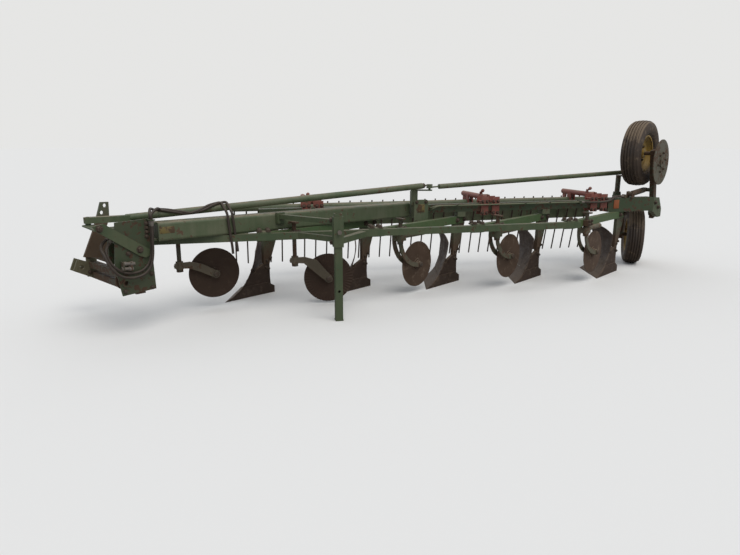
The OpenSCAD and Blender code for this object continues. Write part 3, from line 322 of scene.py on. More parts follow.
green = material("green_paint", WEATHERED, {
    "Paint": (0.034, 0.068, 0.026), "Faded": (0.075, 0.095, 0.045), "Rust": (0.04, 0.018, 0.009),
    "Dust": (0.17, 0.135, 0.09), "Fading": 0.75, "Chipping": 0.45, "Dustiness": 0.7})
dusty_green = material("dusty_green_paint", WEATHERED, {
    "Paint": (0.045, 0.082, 0.032), "Faded": (0.1, 0.118, 0.066), "Rust": (0.045, 0.02, 0.01),
    "Dust": (0.24, 0.195, 0.135), "Fading": 0.9, "Chipping": 0.42, "Dustiness": 0.85})
deep_green = material("deep_green_paint", WEATHERED, {
    "Paint": (0.024, 0.048, 0.017), "Faded": (0.05, 0.062, 0.03), "Rust": (0.03, 0.014, 0.008),
    "Dust": (0.14, 0.11, 0.075), "Fading": 0.7, "Chipping": 0.6, "Dustiness": 0.5})
bright_green = material("bright_green_paint", WEATHERED, {
    "Paint": (0.045, 0.1, 0.03), "Faded": (0.085, 0.115, 0.05), "Rust": (0.045, 0.02, 0.01),
    "Dust": (0.17, 0.14, 0.09), "Fading": 0.6, "Chipping": 0.35, "Dustiness": 0.55})
dark_paint = material("dark_worn_paint", WEATHERED, {
    "Paint": (0.036, 0.038, 0.022), "Faded": (0.062, 0.056, 0.036), "Rust": (0.045, 0.024, 0.014),
    "Dust": (0.16, 0.125, 0.085), "Fading": 0.8, "Chipping": 0.8, "Dustiness": 0.7})
arm_paint = material("worn_arm_paint", WEATHERED, {
    "Paint": (0.06, 0.05, 0.03), "Faded": (0.098, 0.08, 0.052), "Rust": (0.05, 0.028, 0.017),
    "Dust": (0.2, 0.15, 0.1), "Fading": 0.9, "Chipping": 0.6, "Dustiness": 0.8})
yoke_paint = material("muddy_yoke_paint", WEATHERED, {
    "Paint": (0.05, 0.066, 0.034), "Faded": (0.105, 0.092, 0.062), "Rust": (0.075, 0.046, 0.03),
    "Dust": (0.22, 0.165, 0.115), "Fading": 0.9, "Chipping": 0.65, "Dustiness": 0.9})
olive_paint = material("olive_block_paint", WEATHERED, {
    "Paint": (0.085, 0.084, 0.044), "Faded": (0.125, 0.112, 0.066), "Rust": (0.06, 0.036, 0.02),
    "Dust": (0.22, 0.175, 0.12), "Fading": 0.9, "Chipping": 0.4, "Dustiness": 0.7})
mast_paint = material("mast_paint", WEATHERED, {
    "Paint": (0.06, 0.082, 0.042), "Faded": (0.095, 0.098, 0.062), "Rust": (0.085, 0.06, 0.04),
    "Dust": (0.2, 0.16, 0.11), "Fading": 0.8, "Chipping": 0.4, "Dustiness": 0.6, "Bare Below": 0.9})
leg_paint = material("worn_leg_paint", WEATHERED, {
    "Paint": (0.046, 0.07, 0.034), "Faded": (0.08, 0.078, 0.05), "Rust": (0.058, 0.038, 0.026),
    "Dust": (0.18, 0.13, 0.09), "Fading": 0.9, "Chipping": 0.6, "Dustiness": 0.7, "Bare Below": 0.46})
rusty_green = material("rusty_green_paint", WEATHERED, {
    "Paint": (0.045, 0.07, 0.034), "Faded": (0.08, 0.078, 0.05), "Rust": (0.055, 0.034, 0.022),
    "Dust": (0.18, 0.13, 0.09), "Fading": 0.9, "Chipping": 0.9, "Dustiness": 0.7})
red_paint = material("faded_red_paint", WEATHERED, {
    "Paint": (0.2, 0.03, 0.02), "Faded": (0.21, 0.07, 0.05), "Rust": (0.06, 0.026, 0.016),
    "Dust": (0.3, 0.2, 0.15), "Fading": 0.7, "Chipping": 0.4, "Dustiness": 0.9, "Patch Scale": 9.0})
yellow_paint = material("faded_yellow_paint", WEATHERED, {
    "Paint": (0.34, 0.21, 0.028), "Faded": (0.3, 0.2, 0.06), "Rust": (0.08, 0.042, 0.018),
    "Dust": (0.22, 0.16, 0.1), "Fading": 0.8, "Chipping": 0.45, "Dustiness": 0.6, "Patch Scale": 9.0})
blank_yellow = material("blank_decal", WEATHERED, {
    "Paint": (0.17, 0.125, 0.03), "Faded": (0.13, 0.1, 0.04), "Rust": (0.05, 0.04, 0.02),
    "Dust": (0.14, 0.11, 0.07), "Fading": 0.9, "Chipping": 0.7, "Dustiness": 0.5,
    "Patch Scale": 14.0}, bump=0.05)
amber = material("amber_reflector", WEATHERED, {
    "Paint": (0.28, 0.07, 0.015), "Faded": (0.2, 0.07, 0.02), "Rust": (0.1, 0.04, 0.02),
    "Dust": (0.16, 0.11, 0.07), "Fading": 0.5, "Chipping": 0.2, "Dustiness": 0.4}, bump=0.05)
plated = material("dull_plated_steel", SOILED, {
    "Steel": (0.26, 0.25, 0.23), "Rust": (0.08, 0.05, 0.032), "Mud": (0.18, 0.14, 0.1),
    "Rusting": 0.5, "Muddiness": 0.4})
bolt_steel = material("weathered_bolt_steel", SOILED, {
    "Steel": (0.1, 0.09, 0.075), "Rust": (0.055, 0.03, 0.018), "Mud": (0.15, 0.115, 0.08),
    "Rusting": 0.75, "Muddiness": 0.4, "Patch Scale": 30.0})
soil_steel = material("soil_steel", SOILED, {
    "Steel": (0.06, 0.045, 0.037), "Rust": (0.045, 0.028, 0.02), "Mud": (0.15, 0.108, 0.074),
    "Rusting": 0.85, "Muddiness": 0.6})
disc_steel = material("coulter_steel", SOILED, {
    "Steel": (0.045, 0.03, 0.02), "Rust": (0.036, 0.018, 0.011), "Mud": (0.1, 0.066, 0.042),
    "Rusting": 0.85, "Muddiness": 0.4})
muddy_disc = material("muddy_coulter_steel", SOILED, {
    "Steel": (0.1, 0.066, 0.044), "Rust": (0.095, 0.06, 0.04), "Mud": (0.2, 0.145, 0.1),
    "Rusting": 0.8, "Muddiness": 0.95})
pale_disc = material("olive_disc_paint", WEATHERED, {
    "Paint": (0.07, 0.068, 0.04), "Faded": (0.1, 0.092, 0.062), "Rust": (0.05, 0.03, 0.016),
    "Dust": (0.18, 0.145, 0.1), "Fading": 0.8, "Chipping": 0.7, "Dustiness": 0.5})
hose_rubber = material("old_hose_rubber", SOILED, {
    "Steel": (0.02, 0.018, 0.016), "Rust": (0.036, 0.029, 0.022), "Mud": (0.1, 0.078, 0.055),
    "Rusting": 0.7, "Muddiness": 0.35, "Patch Scale": 12.0}, bump=0.2)
tyre_rubber = material("dusty_tyre_rubber", SOILED, {
    "Steel": (0.026, 0.022, 0.019), "Rust": (0.07, 0.052, 0.038), "Mud": (0.19, 0.138, 0.09),
    "Rusting": 0.85, "Muddiness": 0.85}, bump=0.35)
for rubber in (hose_rubber, tyre_rubber):
    for link in [l for l in rubber.node_tree.links if l.to_socket.name == "Metallic"]:
        rubber.node_tree.links.remove(link)

FINISH = {
    green: ["front_rail", "outrigger", "stand_leg", "steering_arm", "idler", "tail_bearing",
            "lift_bracket"],
    dusty_green: ["tongue", "front_rod", "rear_rod", "beam_clamps", "harrow_bars", "pivot_cover"],
    deep_green: ["headstock", "rear_beam"],
    bright_green: ["bottom_beams"],
    olive_paint: ["link_block"],
    mast_paint: ["mast"],
    leg_paint: ["standards"],
    rusty_green: ["cylinder_clevis", "lift_arm", "tail_fork"],
    dark_paint: ["coulter_stems", "cross_tubes", "cylinder_barrel"],
    arm_paint: ["coulter_arm_1", "coulter_arm_2"],
    yoke_paint: ["coulter_arm_3", "coulter_arm_4", "coulter_arm_5"],
    red_paint: ["harrow_brackets", "harrow_arms"],
    yellow_paint: ["tail_rim", "lift_rim"],
    plated: ["stand_bolt", "cylinder_rod"],
    soil_steel: ["frogs", "shares", "moldboards", "landsides", "harrow_tines"],
    disc_steel: ["coulter_disc_1", "coulter_disc_2"],
    muddy_disc: ["coulter_disc_3", "coulter_disc_4", "coulter_disc_5"],
    pale_disc: ["gauge_disc"],
    tyre_rubber: ["tail_tyre", "lift_tyre"],
    hose_rubber: ["hitch_hose_1", "hitch_hose_2", "tail_hose_1", "tail_hose_2"],
}
for finish, names in FINISH.items():
    for name in names:
        node = NODES[name]
        node.data.materials.clear()
        node.data.materials.append(finish)


# Hoses


def along(back, s, off, z):
    """A point beside a line parallel to the frame, in metres from the first share's tip."""
    x = s * math.sin(SKEW) + off * math.cos(SKEW)
    y = back + s * math.cos(SKEW) - off * math.sin(SKEW)
    return at(x, y, z)


REAR_BACK, HARROW_BACK, RAIL_BACK = 0.58, 1.532, -0.77
LINE_OUT = Vector((math.cos(SKEW), -math.sin(SKEW), 0))
LINE_BACK = Vector((math.sin(SKEW), math.cos(SKEW), 0))
UP = Vector((0, 0, 1))
TONGUE_TURN = math.radians(9.5)
TONGUE_WAY = Vector((math.cos(TONGUE_TURN), -math.sin(TONGUE_TURN), 0))
TONGUE_BACK = Vector((math.sin(TONGUE_TURN), math.cos(TONGUE_TURN), 0))
TONGUE_FRONT = at(0.23, -0.745, 0)
TONGUE_HALF = 0.075


def smooth_route(points, steps):
    """The curve through the points, cut into steps between each two."""
    last = len(points) - 1
    route = []
    for i in range(last):
        a, b, c, d = points[max(i - 1, 0)], points[i], points[i + 1], points[min(i + 2, last)]
        for k in range(steps):
            t = k / steps
            route.append(0.5 * (2 * b + t * (c - a) + t * t * (2 * a - 5 * b + 4 * c - d)
                                + t ** 3 * (3 * b - 3 * c + d - a)))
    return route + [points[last]]


# Diameters in metres, and points of the hoses in millimetres: from the first share's tip, and along
# the rear beam
HITCH_HOSE, TAIL_HOSE = 0.022, 0.018
HITCH_HOSES = [
    [(312, -822, 895.6), (312, -822, 845), (320, -828, 738), (320, -840, 632), (320, -872, 551),
     (320, -941, 506), (320, -1047, 508), (312, -1131, 563), (285, -1166, 639), (262, -1160, 705),
     (245, -1101, 775)],
    [(338, -824, 895.6), (338, -824, 842), (344, -832, 735), (344, -842, 614), (344, -875, 520),
     (344, -958, 473), (342, -1084, 485), (325, -1160, 560), (292, -1190, 655), (235, -1186, 725),
     (205, -1101, 790)]]
TAIL_HOSES = [
    [(3440, 74, 842), (3580, 75, 838), (3700, 77, 838), (3800, 82, 852), (3880, 72, 895),
     (3960, 36, 893), (4018.5, 34, 892)],
    [(3440, 96, 842), (3580, 97, 836), (3700, 99, 836), (3800, 106, 850), (3880, 98, 890),
     (3960, 60, 893), (4018.5, 58, 892)]]
ROUTES = {}
for n in range(2):
    ROUTES["hitch_hose_%d" % (n + 1)] = [at(*[v / 1000 for v in p]) for p in HITCH_HOSES[n]]
    ROUTES["tail_hose_%d" % (n + 1)] = [along(REAR_BACK, *[v / 1000 for v in p]) for p in TAIL_HOSES[n]]


def settle(piece, body, finish):
    """Gives a finished piece its material and the body that it moves with."""
    piece.data.materials.clear()
    piece.data.materials.append(finish)
    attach(piece, body)
    return piece


def round_curve(name, route, radius):
    """A round bar, pipe or hose along a route."""
    line = bpy.data.curves.new(name, "CURVE")
    line.dimensions = "3D"
    line.bevel_depth = radius
    line.bevel_resolution = 4
    line.use_fill_caps = True
    spline = line.splines.new("POLY")
    spline.points.add(len(route) - 1)
    for point, place in zip(spline.points, route):
        point.co = (*place, 1)
    piece = bpy.data.objects.new(name, line)
    bpy.context.collection.objects.link(piece)
    return piece


def hose(node, body, diameter):
    """The smooth cover of a hose that the frame has in facets."""
    route = smooth_route(ROUTES[node], 5)
    piece = round_curve(node + "_cover", route, diameter / 2)
    settle(piece, body, hose_rubber)
    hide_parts(node)
    return route


HOSE_ENDS = {}
for n in (1, 2):
    HOSE_ENDS["hitch_hose_%d" % n] = hose("hitch_hose_%d" % n, "hitch", HITCH_HOSE)
    HOSE_ENDS["tail_hose_%d" % n] = hose("tail_hose_%d" % n, "frame", TAIL_HOSE)

# Ways to make pieces


def turned(name, profile, segments=24, closed=True, angle=35):
    """A turned piece about Z: a ring at the first radius, drawn out along the (radius, height) profile."""
    bpy.ops.object.select_all(action="DESELECT")
    radius, height = profile[0]
    bpy.ops.mesh.primitive_circle_add(vertices=segments, radius=radius, fill_type="NOTHING",
                                      location=(0, 0, 0))
    piece = bpy.context.object
    piece.name = name
    bpy.ops.object.mode_set(mode="EDIT")
    bpy.ops.mesh.select_all(action="SELECT")
    bpy.ops.transform.translate(value=(0, 0, height))
    rings = profile[1:] + ([profile[0]] if closed else [])
    for r, z in rings:
        bpy.ops.mesh.extrude_region_move(TRANSFORM_OT_translate={"value": (0, 0, z - height)})
        bpy.ops.transform.resize(value=(r / radius, r / radius, 1), center_override=(0, 0, z))
        radius, height = r, z
    if not closed:
        bpy.ops.mesh.edge_face_add()
        bpy.ops.mesh.select_all(action="DESELECT")
        bpy.ops.mesh.select_non_manifold()
        bpy.ops.mesh.edge_face_add()
    bpy.ops.mesh.select_all(action="SELECT")
    bpy.ops.mesh.remove_doubles(threshold=0.00002)
    bpy.ops.mesh.normals_make_consistent(inside=False)
    bpy.ops.object.mode_set(mode="OBJECT")
    bpy.ops.object.shade_smooth_by_angle(angle=math.radians(angle))
    return piece


def plate(name, size, bevel, place=(0, 0, 0)):
    """A flat plate or block with eased edges."""
    bpy.ops.object.select_all(action="DESELECT")
    bpy.ops.mesh.primitive_cube_add(size=1, location=(0, 0, 0))
    piece = bpy.context.object
    piece.name = name
    bpy.ops.object.mode_set(mode="EDIT")
    bpy.ops.mesh.select_all(action="SELECT")
    bpy.ops.transform.resize(value=size, center_override=(0, 0, 0))
    bpy.ops.transform.translate(value=place)
    bpy.ops.mesh.bevel(offset=bevel, segments=2, affect="EDGES")
    bpy.ops.object.mode_set(mode="OBJECT")
    bpy.ops.object.shade_smooth_by_angle(angle=math.radians(35))
    return piece


def facing(place, way):
    """The turn and move that set a piece made along Z at a place, pointing a way."""
    return Matrix.Translation(place) @ Vector(way).to_track_quat("Z", "Y").to_matrix().to_4x4()


def placed(piece, matrix):
    piece.data.transform(matrix)
    return piece


def copies(name, model, spots, body, finish):
    """One piece of many copies of a model, each with its own mesh, at (place, way) spots."""
    made = []
    for place, way in spots:
        piece = bpy.data.objects.new(name, model.data.copy())
        bpy.context.collection.objects.link(piece)
        made.append(placed(piece, facing(place, way)))
    return joined(name, made, body, finish)


def bolts(name, model, spots, body="frame"):
    """One piece of like bolts or nuts in bare steel."""
    return copies(name, model, spots, body, bolt_steel)


def joined(name, parts, body, finish):
    """One settled piece of several."""
    bpy.ops.object.select_all(action="DESELECT")
    for piece in parts:
        piece.select_set(True)
    bpy.context.view_layer.objects.active = parts[0]
    if len(parts) > 1:
        bpy.ops.object.join()
    piece = bpy.context.view_layer.objects.active
    piece.name = name
    return settle(piece, body, finish)


def drop(*models):
    """Takes models out of the scene once their copies are made."""
    for model in models:
        bpy.data.objects.remove(model)


def as_mesh(curve):
    """A round bar as a mesh, so that it can be joined or painted as one."""
    bpy.ops.object.select_all(action="DESELECT")
    curve.select_set(True)
    bpy.context.view_layer.objects.active = curve
    bpy.ops.object.convert(target="MESH")
    return bpy.context.object


def hex_nut(name, across, height):
    """A hexagon head with a chamfered top on a round washer, standing on its seat at the origin."""
    bore, rim, top = across * 0.25, across * 0.78, 0.003
    washer = turned(name, [(bore, 0.0003), (rim, 0.0003), (rim, top), (bore, top)], 20)
    r = across / math.sqrt(3)
    head = turned(name + "_head", [(r, top), (r, height - 0.003), (r * 0.86, height),
                                   (r * 0.45, height + 0.0005), (r * 0.42, height + 0.005)],
                  6, closed=False, angle=20)
    bpy.ops.object.select_all(action="DESELECT")
    head.select_set(True)
    washer.select_set(True)
    bpy.context.view_layer.objects.active = washer
    bpy.ops.object.join()
    return washer


small_bolt = hex_nut("small_bolt", 0.024, 0.015)
large_bolt = hex_nut("large_bolt", 0.036, 0.023)
disc_bolt = turned("disc_bolt", [(0.006, -0.0004), (0.006, 0.0022), (0.0045, 0.0036), (0.002, 0.004)],
                   16, closed=False)
plough_bolt = turned("plough_bolt",
                     [(0.0135, -0.0004), (0.0135, 0.0008), (0.0125, 0.0014), (0.004, 0.0016)],
                     20, closed=False)

# Bolts of the frame

PITCH = [Vector((0.542 * i, 0.859 * i, 0)) for i in range(5)]
LINE_PITCH = 1.01569
HARROW_ARMS = (-0.393, 1.542, 2.891)
BEAM_OFF = 0.952 * math.sin(SKEW)
CLAMP_HALF = 0.0623
LANDSIDE = (1, 0, 0)


def ring(centre, way, level, radius, count, start=0):
    """Spots of a bolt circle on a face that looks a way, from start degrees above a level way."""
    return [(centre + radius * (math.cos(a) * level + math.sin(a) * UP), way)
            for a in (math.radians(360 / count * k + start) for k in range(count))]


def on_side(x, places, shift=Vector()):
    """Spots on an upright face at x that looks to the landside, at (y, z) places."""
    return [(at(x, y, z) + shift, LANDSIDE) for y, z in places]


clamp_spots = []
for s in HARROW_ARMS:
    for k in (-0.0645, 0.0645):
        for y in (-0.024, 0.024):
            for z in (0.75, 0.874):
                clamp_spots.append((along(HARROW_BACK, s + k + y, BEAM_OFF + CLAMP_HALF, z), LINE_OUT))
                clamp_spots.append((along(HARROW_BACK, s + k + y, BEAM_OFF - CLAMP_HALF, z), -LINE_OUT))
bolts("harrow_clamp_nuts", small_bolt, clamp_spots)

rail_spots = [(along(RAIL_BACK, LINE_PITCH * i + s, off, 0.729), UP)
              for i in range(5) for s in (-0.038, 0.038) for off in (-0.072, 0.008)]
bolts("rail_clamp_bolts", large_bolt, rail_spots)

beam_spots, stem_spots = [], []
for p in PITCH:
    beam_spots += on_side(0.0025, ((0.515, 0.678), (0.645, 0.678)), p)
    stem_spots += on_side(0.0578, [(-0.45 + y, z) for y in (-0.028, 0.028) for z in (0.668, 0.702)], p)
bolts("beam_bolts", large_bolt, beam_spots)
bolts("stem_clamp_bolts", small_bolt, stem_spots)

leg_spots = []
for p in PITCH:
    leg_spots += on_side(-0.0122, ((0.5, 0.265), (0.532, 0.25), (0.515, 0.335), (0.56, 0.36)), p)
bolts("standard_bolts", small_bolt, leg_spots)

# Plough bolts: flush heads on share, moldboard and landside
SHARE_DEG, SHARE_LEN, SHARE_H, BOARD_H = 41.6, 0.598, 0.11, 0.52
EDGE, JOINT, TOP = (math.radians(v) for v in (18, 58, 92))
SHARE_ARC = SHARE_H / (math.cos(EDGE) - math.cos(JOINT))
BOARD_ARC = (BOARD_H - SHARE_H) / (math.cos(JOINT) - math.cos(TOP))


def board_slope(z):
    """How far the face leans from level at a height."""
    if z < SHARE_H:
        return math.acos(math.cos(EDGE) - z / SHARE_ARC)
    return math.acos(math.cos(JOINT) - (z - SHARE_H) / BOARD_ARC)


def on_board(z, t):
    """A point on share or moldboard at a height, t along its level line, and the way its face looks."""
    a = board_slope(z)
    back = (SHARE_ARC * (math.sin(a) - math.sin(EDGE)) if z < SHARE_H else
            SHARE_ARC * (math.sin(JOINT) - math.sin(EDGE)) + BOARD_ARC * (math.sin(a) - math.sin(JOINT)))
    turn = math.radians(SHARE_DEG + 8 * (max(0, z - SHARE_H) / (BOARD_H - SHARE_H)) ** 3)
    base = math.radians(SHARE_DEG)
    point = Vector((-math.sin(base) * SHARE_LEN / 2 + math.cos(base) * back - t * math.sin(turn),
                    math.cos(base) * SHARE_LEN / 2 + math.sin(base) * back + t * math.cos(turn), z))
    way = Vector((-math.cos(turn) * math.sin(a), -math.sin(turn) * math.sin(a), math.cos(a)))
    return point + (0.01 if z < SHARE_H else 0.008) * way, way


face_spots = []
for p in PITCH:
    for z, t in ((0.072, -0.12), (0.072, 0.0), (0.072, 0.12), (0.165, -0.1), (0.165, 0.02), (0.27, -0.07),
                 (0.27, 0.05)):
        point, way = on_board(z, t)
        face_spots.append((TIP + p + point, way))
    face_spots += on_side(0.0004, ((0.33, 0.075), (0.42, 0.075), (0.42, 0.035)), p)
bolts("plough_bolts", plough_bolt, face_spots)

# Hitch

HEAD_FACE, BRACE_FACE, BLOCK_FACE = 0.2903, 0.3066, -0.586
bolts("head_bolts", small_bolt, on_side(HEAD_FACE, (
    (-0.848, 0.873), (-0.849, 0.838), (-0.85, 0.806), (-0.853, 0.772), (-1.012, 0.654), (-0.839, 0.468),
    (-0.838, 0.356), (-1.06, 0.36), (-1.0, 0.56))), "hitch")
bolts("brace_bolts", large_bolt, on_side(BRACE_FACE, ((-0.9224, 0.676), (-1.215, 0.868))), "hitch")
bolts("link_block_bolts", small_bolt, on_side(BLOCK_FACE, ((-0.985, 0.51), (-0.985, 0.37))), "hitch")

ferrule = turned("ferrule", [(0.0116, 0), (0.0155, 0.001), (0.0155, 0.03), (0.0135, 0.032), (0.0135, 0.042),
                             (0.0116, 0.043)], 24)
slim_ferrule = turned("slim_ferrule", [(0.0095, 0), (0.0128, 0.001), (0.0128, 0.026), (0.0112, 0.028),
                                       (0.0112, 0.036), (0.0095, 0.037)], 24)


def end_spots(names):
    """The two ends of each hose, half a millimetre in, looking along the hose."""
    spots = []
    for name in names:
        route = HOSE_ENDS[name]
        spots.append((route[0] + (route[1] - route[0]).normalized() * 0.0005, route[1] - route[0]))
        spots.append((route[-1] + (route[-2] - route[-1]).normalized() * 0.0005, route[-2] - route[-1]))
    return spots


copies("hitch_hose_ferrules", ferrule, end_spots(["hitch_hose_1", "hitch_hose_2"]), "hitch", plated)
copies("tail_hose_ferrules", slim_ferrule, end_spots(["tail_hose_1", "tail_hose_2"]), "frame", plated)

coupler = turned("coupler", [(0.007, 0), (0.016, 0), (0.017, 0.004), (0.017, 0.02), (0.014, 0.024),
                             (0.014, 0.05), (0.019, 0.052), (0.019, 0.072), (0.015, 0.076),
                             (0.015, 0.088), (0.008, 0.089), (0.008, 0.04)], 28)
COUPLER_WAY = (0, 1, -0.12)
copies("hose_couplers", coupler,
       [(at(0.3225, y, z), COUPLER_WAY) for y, z in ((-1.085, 0.548), (-1.07, 0.585))],
       "hitch", plated)
drop(coupler)
rest = plate("coupler_rest", (0.05, 0.012, 0.07), 0.003)
copies("coupler_rests", rest, [(at(0.3155, y, z), UP) for y, z in ((-1.0735, 0.566), (-1.012, 0.558))],
       "hitch", dark_paint)
drop(rest)

rod_nut = turned("rod_nut", [(0.014, 0), (0.0235, 0), (0.0235, 0.007), (0.0215, 0.0085),
                             (0.014, 0.0085)], 6, angle=20)
bolts("front_rod_nut", rod_nut, [(at(-0.022, -1.166, 0.8418), UP)], "hitch")
drop(rod_nut)

# Steering rods

FRONT_EYE, ROD_JOINT = at(-0.022, -1.166, 0.885), at(0.93, 1.935, 1.06)
ROD_WAY = (ROD_JOINT - FRONT_EYE).normalized()
ROD_OUT = Vector((ROD_WAY.y, -ROD_WAY.x, 0)).normalized()
ROD_UP = ROD_OUT.cross(ROD_WAY)


def round_rod(d, turn, reach=0.0425):
    """A point on the front rod's skin, d along it, turned from its top towards the landside."""
    a = math.radians(turn)
    return FRONT_EYE + ROD_WAY * d + reach * (ROD_OUT * math.sin(a) + ROD_UP * math.cos(a))


for n, (start, shift, hang, low) in enumerate(((at(0.312, -0.822, 0.9062), 0.0, 0.585, 0.555),
                                               (at(0.338, -0.824, 0.9062), 0.045, 0.63, 0.57))):
    lift = [start, start + UP * 0.04, start + Vector((-0.05, 0.03 + shift, 0.072))]
    turns = [round_rod(d + shift, turn) for d, turn in (
        (0.5, 10), (0.56, 40), (0.66, 80), (0.75, 108), (0.85, 85), (0.93, 42), (1.0, 8), (1.05, 12))]
    beside = [TONGUE_FRONT + TONGUE_WAY * (TONGUE_HALF + off) + TONGUE_BACK * (hang + back) + UP * z
              for off, back, z in ((-0.03, -0.012, 0.948), (0.012, -0.006, 0.9), (0.019, 0, 0.82),
                                   (0.02, 0.012, 0.7), (0.024, 0.02, 0.62), (0.028, 0.022, low))]
    route = smooth_route(lift + turns + beside, 5)
    piece = round_curve("rod_hose_%d" % (n + 1), route, HITCH_HOSE / 2)
    settle(piece, "front_rod", hose_rubber)
lock_nut = turned("lock_nut", [(0.0084, 0), (0.024, 0), (0.026, 0.004), (0.026, 0.026), (0.024, 0.03),
                               (0.0084, 0.03)], 6, angle=20)
bolts("front_rod_lock_nut", lock_nut, [(ROD_JOINT - ROD_WAY * 0.095, ROD_WAY)], "front_rod")
drop(lock_nut)

# Junction, decals, reflector and pipes


def flat_sign(name, place, way, width, height, depth, finish):
    """A thin bare plate with round corners, its back on a face that looks a level way."""
    sign = plate(name, (width, height, depth), depth * 0.4)
    bpy.ops.object.mode_set(mode="EDIT")
    bpy.ops.mesh.select_all(action="SELECT")
    bpy.ops.mesh.subdivide(number_cuts=1)
    bpy.ops.object.mode_set(mode="OBJECT")
    way = Vector(way).normalized()
    turn = Matrix((UP.cross(way).normalized(), UP, way)).transposed().to_4x4()
    placed(sign, Matrix.Translation(Vector(place) + way * (depth / 2 + 0.0004)) @ turn)
    return joined(name, [sign], "frame", finish)


flat_sign("tongue_decal", TONGUE_FRONT + TONGUE_WAY * TONGUE_HALF + TONGUE_BACK * 0.068 + UP * 0.806,
          TONGUE_WAY, width=0.12, height=0.055, depth=0.0012, finish=blank_yellow)
flat_sign("cover_plate_badge", along(REAR_BACK, 1.556, 0.064, 0.82), LINE_OUT,
          width=0.075, height=0.085, depth=0.003, finish=blank_yellow)
flat_sign("end_box_reflector", along(REAR_BACK, 3.922, 0.065, 0.804), LINE_OUT,
          width=0.07, height=0.1, depth=0.006, finish=amber)

cover_spots = [(along(REAR_BACK, s, 0.0643, z), LINE_OUT) for s in (1.506, 1.607) for z in (0.675, 0.885)]
bolts("cover_bolts", small_bolt, cover_spots)

PIPE_LEVEL, PIPE_RADIUS = 0.842, 0.0065
for n, off in ((1, 0.074), (2, 0.096)):
    points = [along(REAR_BACK, s, o, PIPE_LEVEL - drop_by) for s, o, drop_by in (
        (1.66, 0.0515, 0.02 * n), (1.66, 0.066, 0.02 * n), (1.69, off, 0.01 * n), (1.75, off, 0),
        (2.0, off, 0), (2.6, off, 0), (3.2, off, 0), (3.4195, off, 0))]
    pipe = as_mesh(round_curve("beam_pipe_%d" % n, smooth_route(points, 4), PIPE_RADIUS))
    settle(pipe, "frame", dusty_green)
clip = plate("pipe_clip", (0.056, 0.02, 0.004), 0.001)
clip_spots = [along(REAR_BACK, s, 0.079, 0.851) for s in (1.95, 2.75, 3.05)]
made = []
for place in clip_spots:
    piece = bpy.data.objects.new("pipe_clips", clip.data.copy())
    bpy.context.collection.objects.link(piece)
    made.append(placed(piece, Matrix.Translation(place) @ Matrix.Rotation(-SKEW, 4, "Z")))
joined("pipe_clips", made, "frame", bolt_steel)
drop(clip)

# Crank handles at the harrow arms

CRANK_RADIUS = 0.009
for n, s in enumerate(HARROW_ARMS):
    points = [along(HARROW_BACK, s + y, o, z) for o, y, z in (
        (0.33, 0.0, 0.937), (0.332, 0.0, 0.95), (0.345, -0.015, 0.958), (0.365, -0.03, 0.95),
        (0.385, -0.035, 0.955), (0.405, -0.03, 0.968))]
    crank = as_mesh(round_curve("crank_%d" % (n + 1), smooth_route(points, 5), CRANK_RADIUS))
    knob = turned("crank_knob", [(0.006, -0.002), (0.015, 0.002), (0.019, 0.014), (0.016, 0.03),
                                 (0.008, 0.036)], 20, closed=False, angle=60)
    placed(knob, facing(points[-1], points[-1] - points[-2]))
    boss = turned("crank_boss", [(0.012, -0.0065), (0.016, -0.0063), (0.016, 0.006), (0.012, 0.008)], 20,
                  closed=False)
    placed(boss, facing(points[0], UP))
    joined("harrow_crank_%d" % (n + 1), [crank, knob, boss], "harrow", red_paint)

# Coulters

# How far each coulter is turned, in degrees, and the height of its disc's middle
CASTORS = (18, 38, 0, 0, 0)
AXLES = (0.33, 0.25, 0.295, 0.33, 0.33)
COULTER_STEM = at(0.0215, -0.45, 0)
ARM_OFF, ARM_LENGTH = 0.038, 0.31
DISC_RADIUS, DISC_BOLT_CIRCLE = 0.23, 0.0465


def across_trail(castor):
    """The ways across and behind a coulter that is turned by castor degrees."""
    c = math.radians(castor)
    return Vector((math.cos(c), -math.sin(c), 0)), Vector((math.sin(c), math.cos(c), 0))


cap = turned("coulter_cap", [(0.012, -0.0003), (0.026, 0.0003), (0.026, 0.006), (0.02, 0.013),
                             (0.008, 0.016)], 24, closed=False)
hubs = []
for i, (castor, axle) in enumerate(zip(CASTORS, AXLES)):
    side, trail = across_trail(castor)
    hub = COULTER_STEM + PITCH[i] - side * ARM_OFF + trail * ARM_LENGTH + UP * axle
    hubs.append(hub)
    rim_spots = ring(hub + side * 0.0123, side, trail, DISC_BOLT_CIRCLE, 5, 20)
    bolts("coulter_disc_bolts_%d" % (i + 1), disc_bolt, rim_spots, "coulter_disc_%d" % (i + 1))
    ends = [(hub + side * 0.0663, side)]
    if i > 1:
        ends = [(hub + side * 0.0513, side), (hub - side * 0.0663, -side)]
    bolts("coulter_caps_%d" % (i + 1), cap, ends, "coulter_arm_%d" % (i + 1))
drop(cap)

RIPPLE_DEPTH = 0.0036


def rippled_disc(node, body, hub, way, radius, waves):
    """A disc whose rim is pressed into radial ripples, sharp at its edge, flat and thick in the middle."""
    profile = [(0.0143, -0.026), (0.037, -0.026), (0.037, -0.012), (0.055, -0.012), (0.055, -0.0025)]
    profile += [(radius - inward, -half) for inward, half in (
        (0.075, 0.0025), (0.055, 0.0025), (0.035, 0.0025), (0.015, 0.0024), (0.0002, 0.0008))]
    profile += [(r, -h) for r, h in reversed(profile)]
    disc = turned(node + "_rippled", profile, waves * 4, closed=True, angle=50)
    for point in disc.data.vertices:
        reach = math.hypot(point.co.x, point.co.y) - (radius - 0.07)
        wave = math.sin(waves * math.atan2(point.co.y, point.co.x))
        point.co.z += RIPPLE_DEPTH * min(1, max(0, reach / 0.045)) * wave
    settle(placed(disc, facing(hub, way)), body, disc_steel)
    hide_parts(node)


